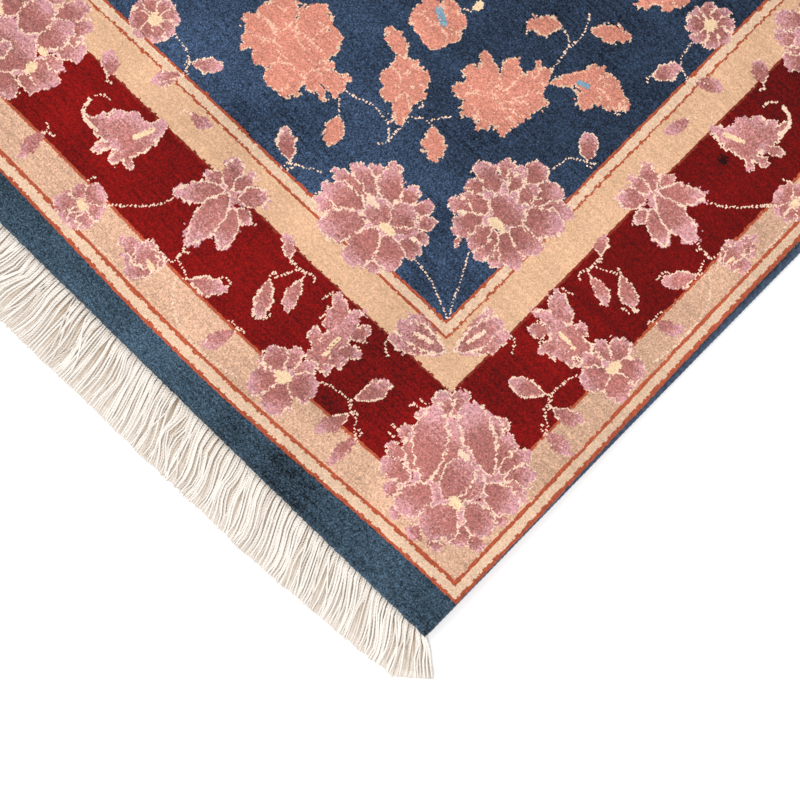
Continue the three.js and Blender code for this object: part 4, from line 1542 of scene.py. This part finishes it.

# %% [markdown]
# The side cords are wound with a navy wool like that of the end bands. The fringe is
# undyed cotton: warm white, a little darker in some strands. The lowest strands and the
# bed under them are painted tan, as painted shade. It shows the twist of its yarn, with
# painted shade in the grooves of the twist and between the strands drawn on the bed.

# %% The overcast wool and the fringe cotton
OVERCAST_NAVY = (66, 82, 103)
TAN_TONE_AND_SHADE, COTTON_WHITE = (0.66, 0.55, 0.43), (0.965, 0.94, 0.91)
overcast = YarnMaterial("overcast_wool", 0.9, 0.2, 450.0, 2.6, bump=(0.9, 0.0008))
overcast.paint(to_linear(np.array(OVERCAST_NAVY) / 255))
overcast.cover(cords)

cotton = YarnMaterial("fringe_cotton", 0.85, 0.15, 1500.0, 0.25, specular=0.3)
# The mix runs from a tan to the cotton's white: a little way for the random tone of single strands, and
# much further as painted shade on the lower strands and the bed.
tone_and_shade_mix = cotton.node("ShaderNodeMix")
tone_and_shade_mix.data_type = "RGBA"
tone_and_shade_mix.inputs["A"].default_value = (*to_linear(TAN_TONE_AND_SHADE), 1)
tone_and_shade_mix.inputs["B"].default_value = (*to_linear(COTTON_WHITE), 1)
lightness = cotton.node("ShaderNodeClamp")
light = cotton.math("MULTIPLY_ADD", cotton.attribute("tint").outputs["Fac"], 0.16, 1.0)
cotton.link(light, lightness.inputs[0])
cotton.link(lightness.outputs[0], tone_and_shade_mix.inputs["Factor"])
twist = cotton.node("ShaderNodeGroup")
twist.node_tree = TWIST
twist.inputs["Pitch"].default_value = 1.9
# Painted shade: dark lines in the grooves of the twist and, on the bed, between the strands that it
# draws. They are deeper where the cotton is darker.
depth = cotton.math("MULTIPLY_ADD", lightness.outputs[0], -0.26, 0.31)
painted_line_shade = cotton.math("MULTIPLY_ADD", twist.outputs["Height"], depth, 1.0)
cotton.paint(cotton.scaled(tone_and_shade_mix.outputs["Result"], painted_line_shade))
cotton.link(cotton.math("MULTIPLY_ADD", twist.outputs["Height"], 0.5, cotton.grain.outputs["Height"]),
            cotton.bump.inputs["Height"])
cotton.cover([*fringes, *headings])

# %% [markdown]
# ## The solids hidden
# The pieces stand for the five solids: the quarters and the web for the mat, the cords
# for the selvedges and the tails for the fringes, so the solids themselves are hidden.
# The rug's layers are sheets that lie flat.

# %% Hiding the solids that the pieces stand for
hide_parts("rug_mat")
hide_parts("selvedge_right")
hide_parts("selvedge_left")
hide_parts("fringe_near")
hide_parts("fringe_far")

# %% [markdown]
# ## Floor, light and camera
# The rug lies on a plain pale floor in even, soft light: a bright sky, a wide lamp high
# up on the near right and a weaker one from the left, which let the tufts and the strands
# of the fringe cast faint shadows. The camera looks down steeply on one corner, through a
# lens that is long enough to keep the rug's edges nearly parallel.

# %% Floor and sky
FLOOR_HALF, FLOOR_DROP, PALE = 6, 0.0003, 0.93  # metres, metres, brightness
floor_mesh = bpy.data.meshes.new("floor")
floor_mesh.from_pydata([(x * FLOOR_HALF, y * FLOOR_HALF, 0) for x, y in
                        ((-1, -1), (1, -1), (1, 1), (-1, 1))], [], [(0, 1, 2, 3)])
floor = bpy.data.objects.new("floor", floor_mesh)
floor.location.z = -FLOOR_DROP
bpy.context.scene.collection.objects.link(floor)
plain = bpy.data.materials.new("pale_floor")
plain.use_nodes = True
plain_shader = plain.node_tree.nodes["Principled BSDF"]
plain_shader.inputs["Base Color"].default_value = (PALE, PALE, PALE, 1)
plain_shader.inputs["Roughness"].default_value = 0.9
floor.data.materials.append(plain)

world = bpy.data.worlds.new("studio")
world.use_nodes = True
sky = world.node_tree.nodes["Background"]
sky.inputs["Color"].default_value = (1, 1, 1, 1)
sky.inputs["Strength"].default_value = 0.62
bpy.context.scene.world = world
print("floor", 2 * FLOOR_HALF, "m square")

# %% Lamps
LIT_PLACE = (0.2, -0.4, 0)


def lamp(name, place, size, watts):
    """A square area lamp at a place, turned to the corner that the camera sees."""
    light = bpy.data.lights.new(name, "AREA")
    light.size, light.energy = size, watts
    lit = bpy.data.objects.new(name, light)
    lit.location = place
    aim = Vector(LIT_PLACE) - Vector(place)
    lit.rotation_euler = aim.to_track_quat("-Z", "Y").to_euler()
    bpy.context.scene.collection.objects.link(lit)
    print(name, watts, "W,", round(aim.length, 1), "m away")


lamp("key", (1.6, -2.6, 4.6), 2.4, 165)
lamp("fill", (-3.0, -1.2, 3.6), 3.2, 55)

# %% Camera
SENSOR, LENS, AWAY = 36, 166.7, 2.0  # mm, mm, metres
TURN, RISE = math.radians(44.05), math.radians(77.0)
LOOKED_AT = Vector((0.2961, -0.5076, 0.0075))
view = bpy.data.cameras.new("camera")
view.sensor_width, view.lens = SENSOR, LENS
camera = bpy.data.objects.new("camera", view)
bpy.context.scene.collection.objects.link(camera)
back_to_eye = Vector((math.sin(TURN) * math.cos(RISE), -math.cos(TURN) * math.cos(RISE),
                      math.sin(RISE)))
camera.location = LOOKED_AT + AWAY * back_to_eye
camera.rotation_euler = (-back_to_eye).to_track_quat("-Z", "Y").to_euler()
bpy.context.scene.camera = camera
bpy.context.scene.view_settings.view_transform = "Standard"
print("camera at", [round(value, 3) for value in camera.location])

# %% Sizes and the table of pieces
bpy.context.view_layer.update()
pieces = [*quarters, web, *cords, *headings, *fringes]
triangles = {piece.name: len(piece.data.loops) - 2 * len(piece.data.polygons) for piece in pieces}
print("triangles:", triangles, "in all", sum(triangles.values()))
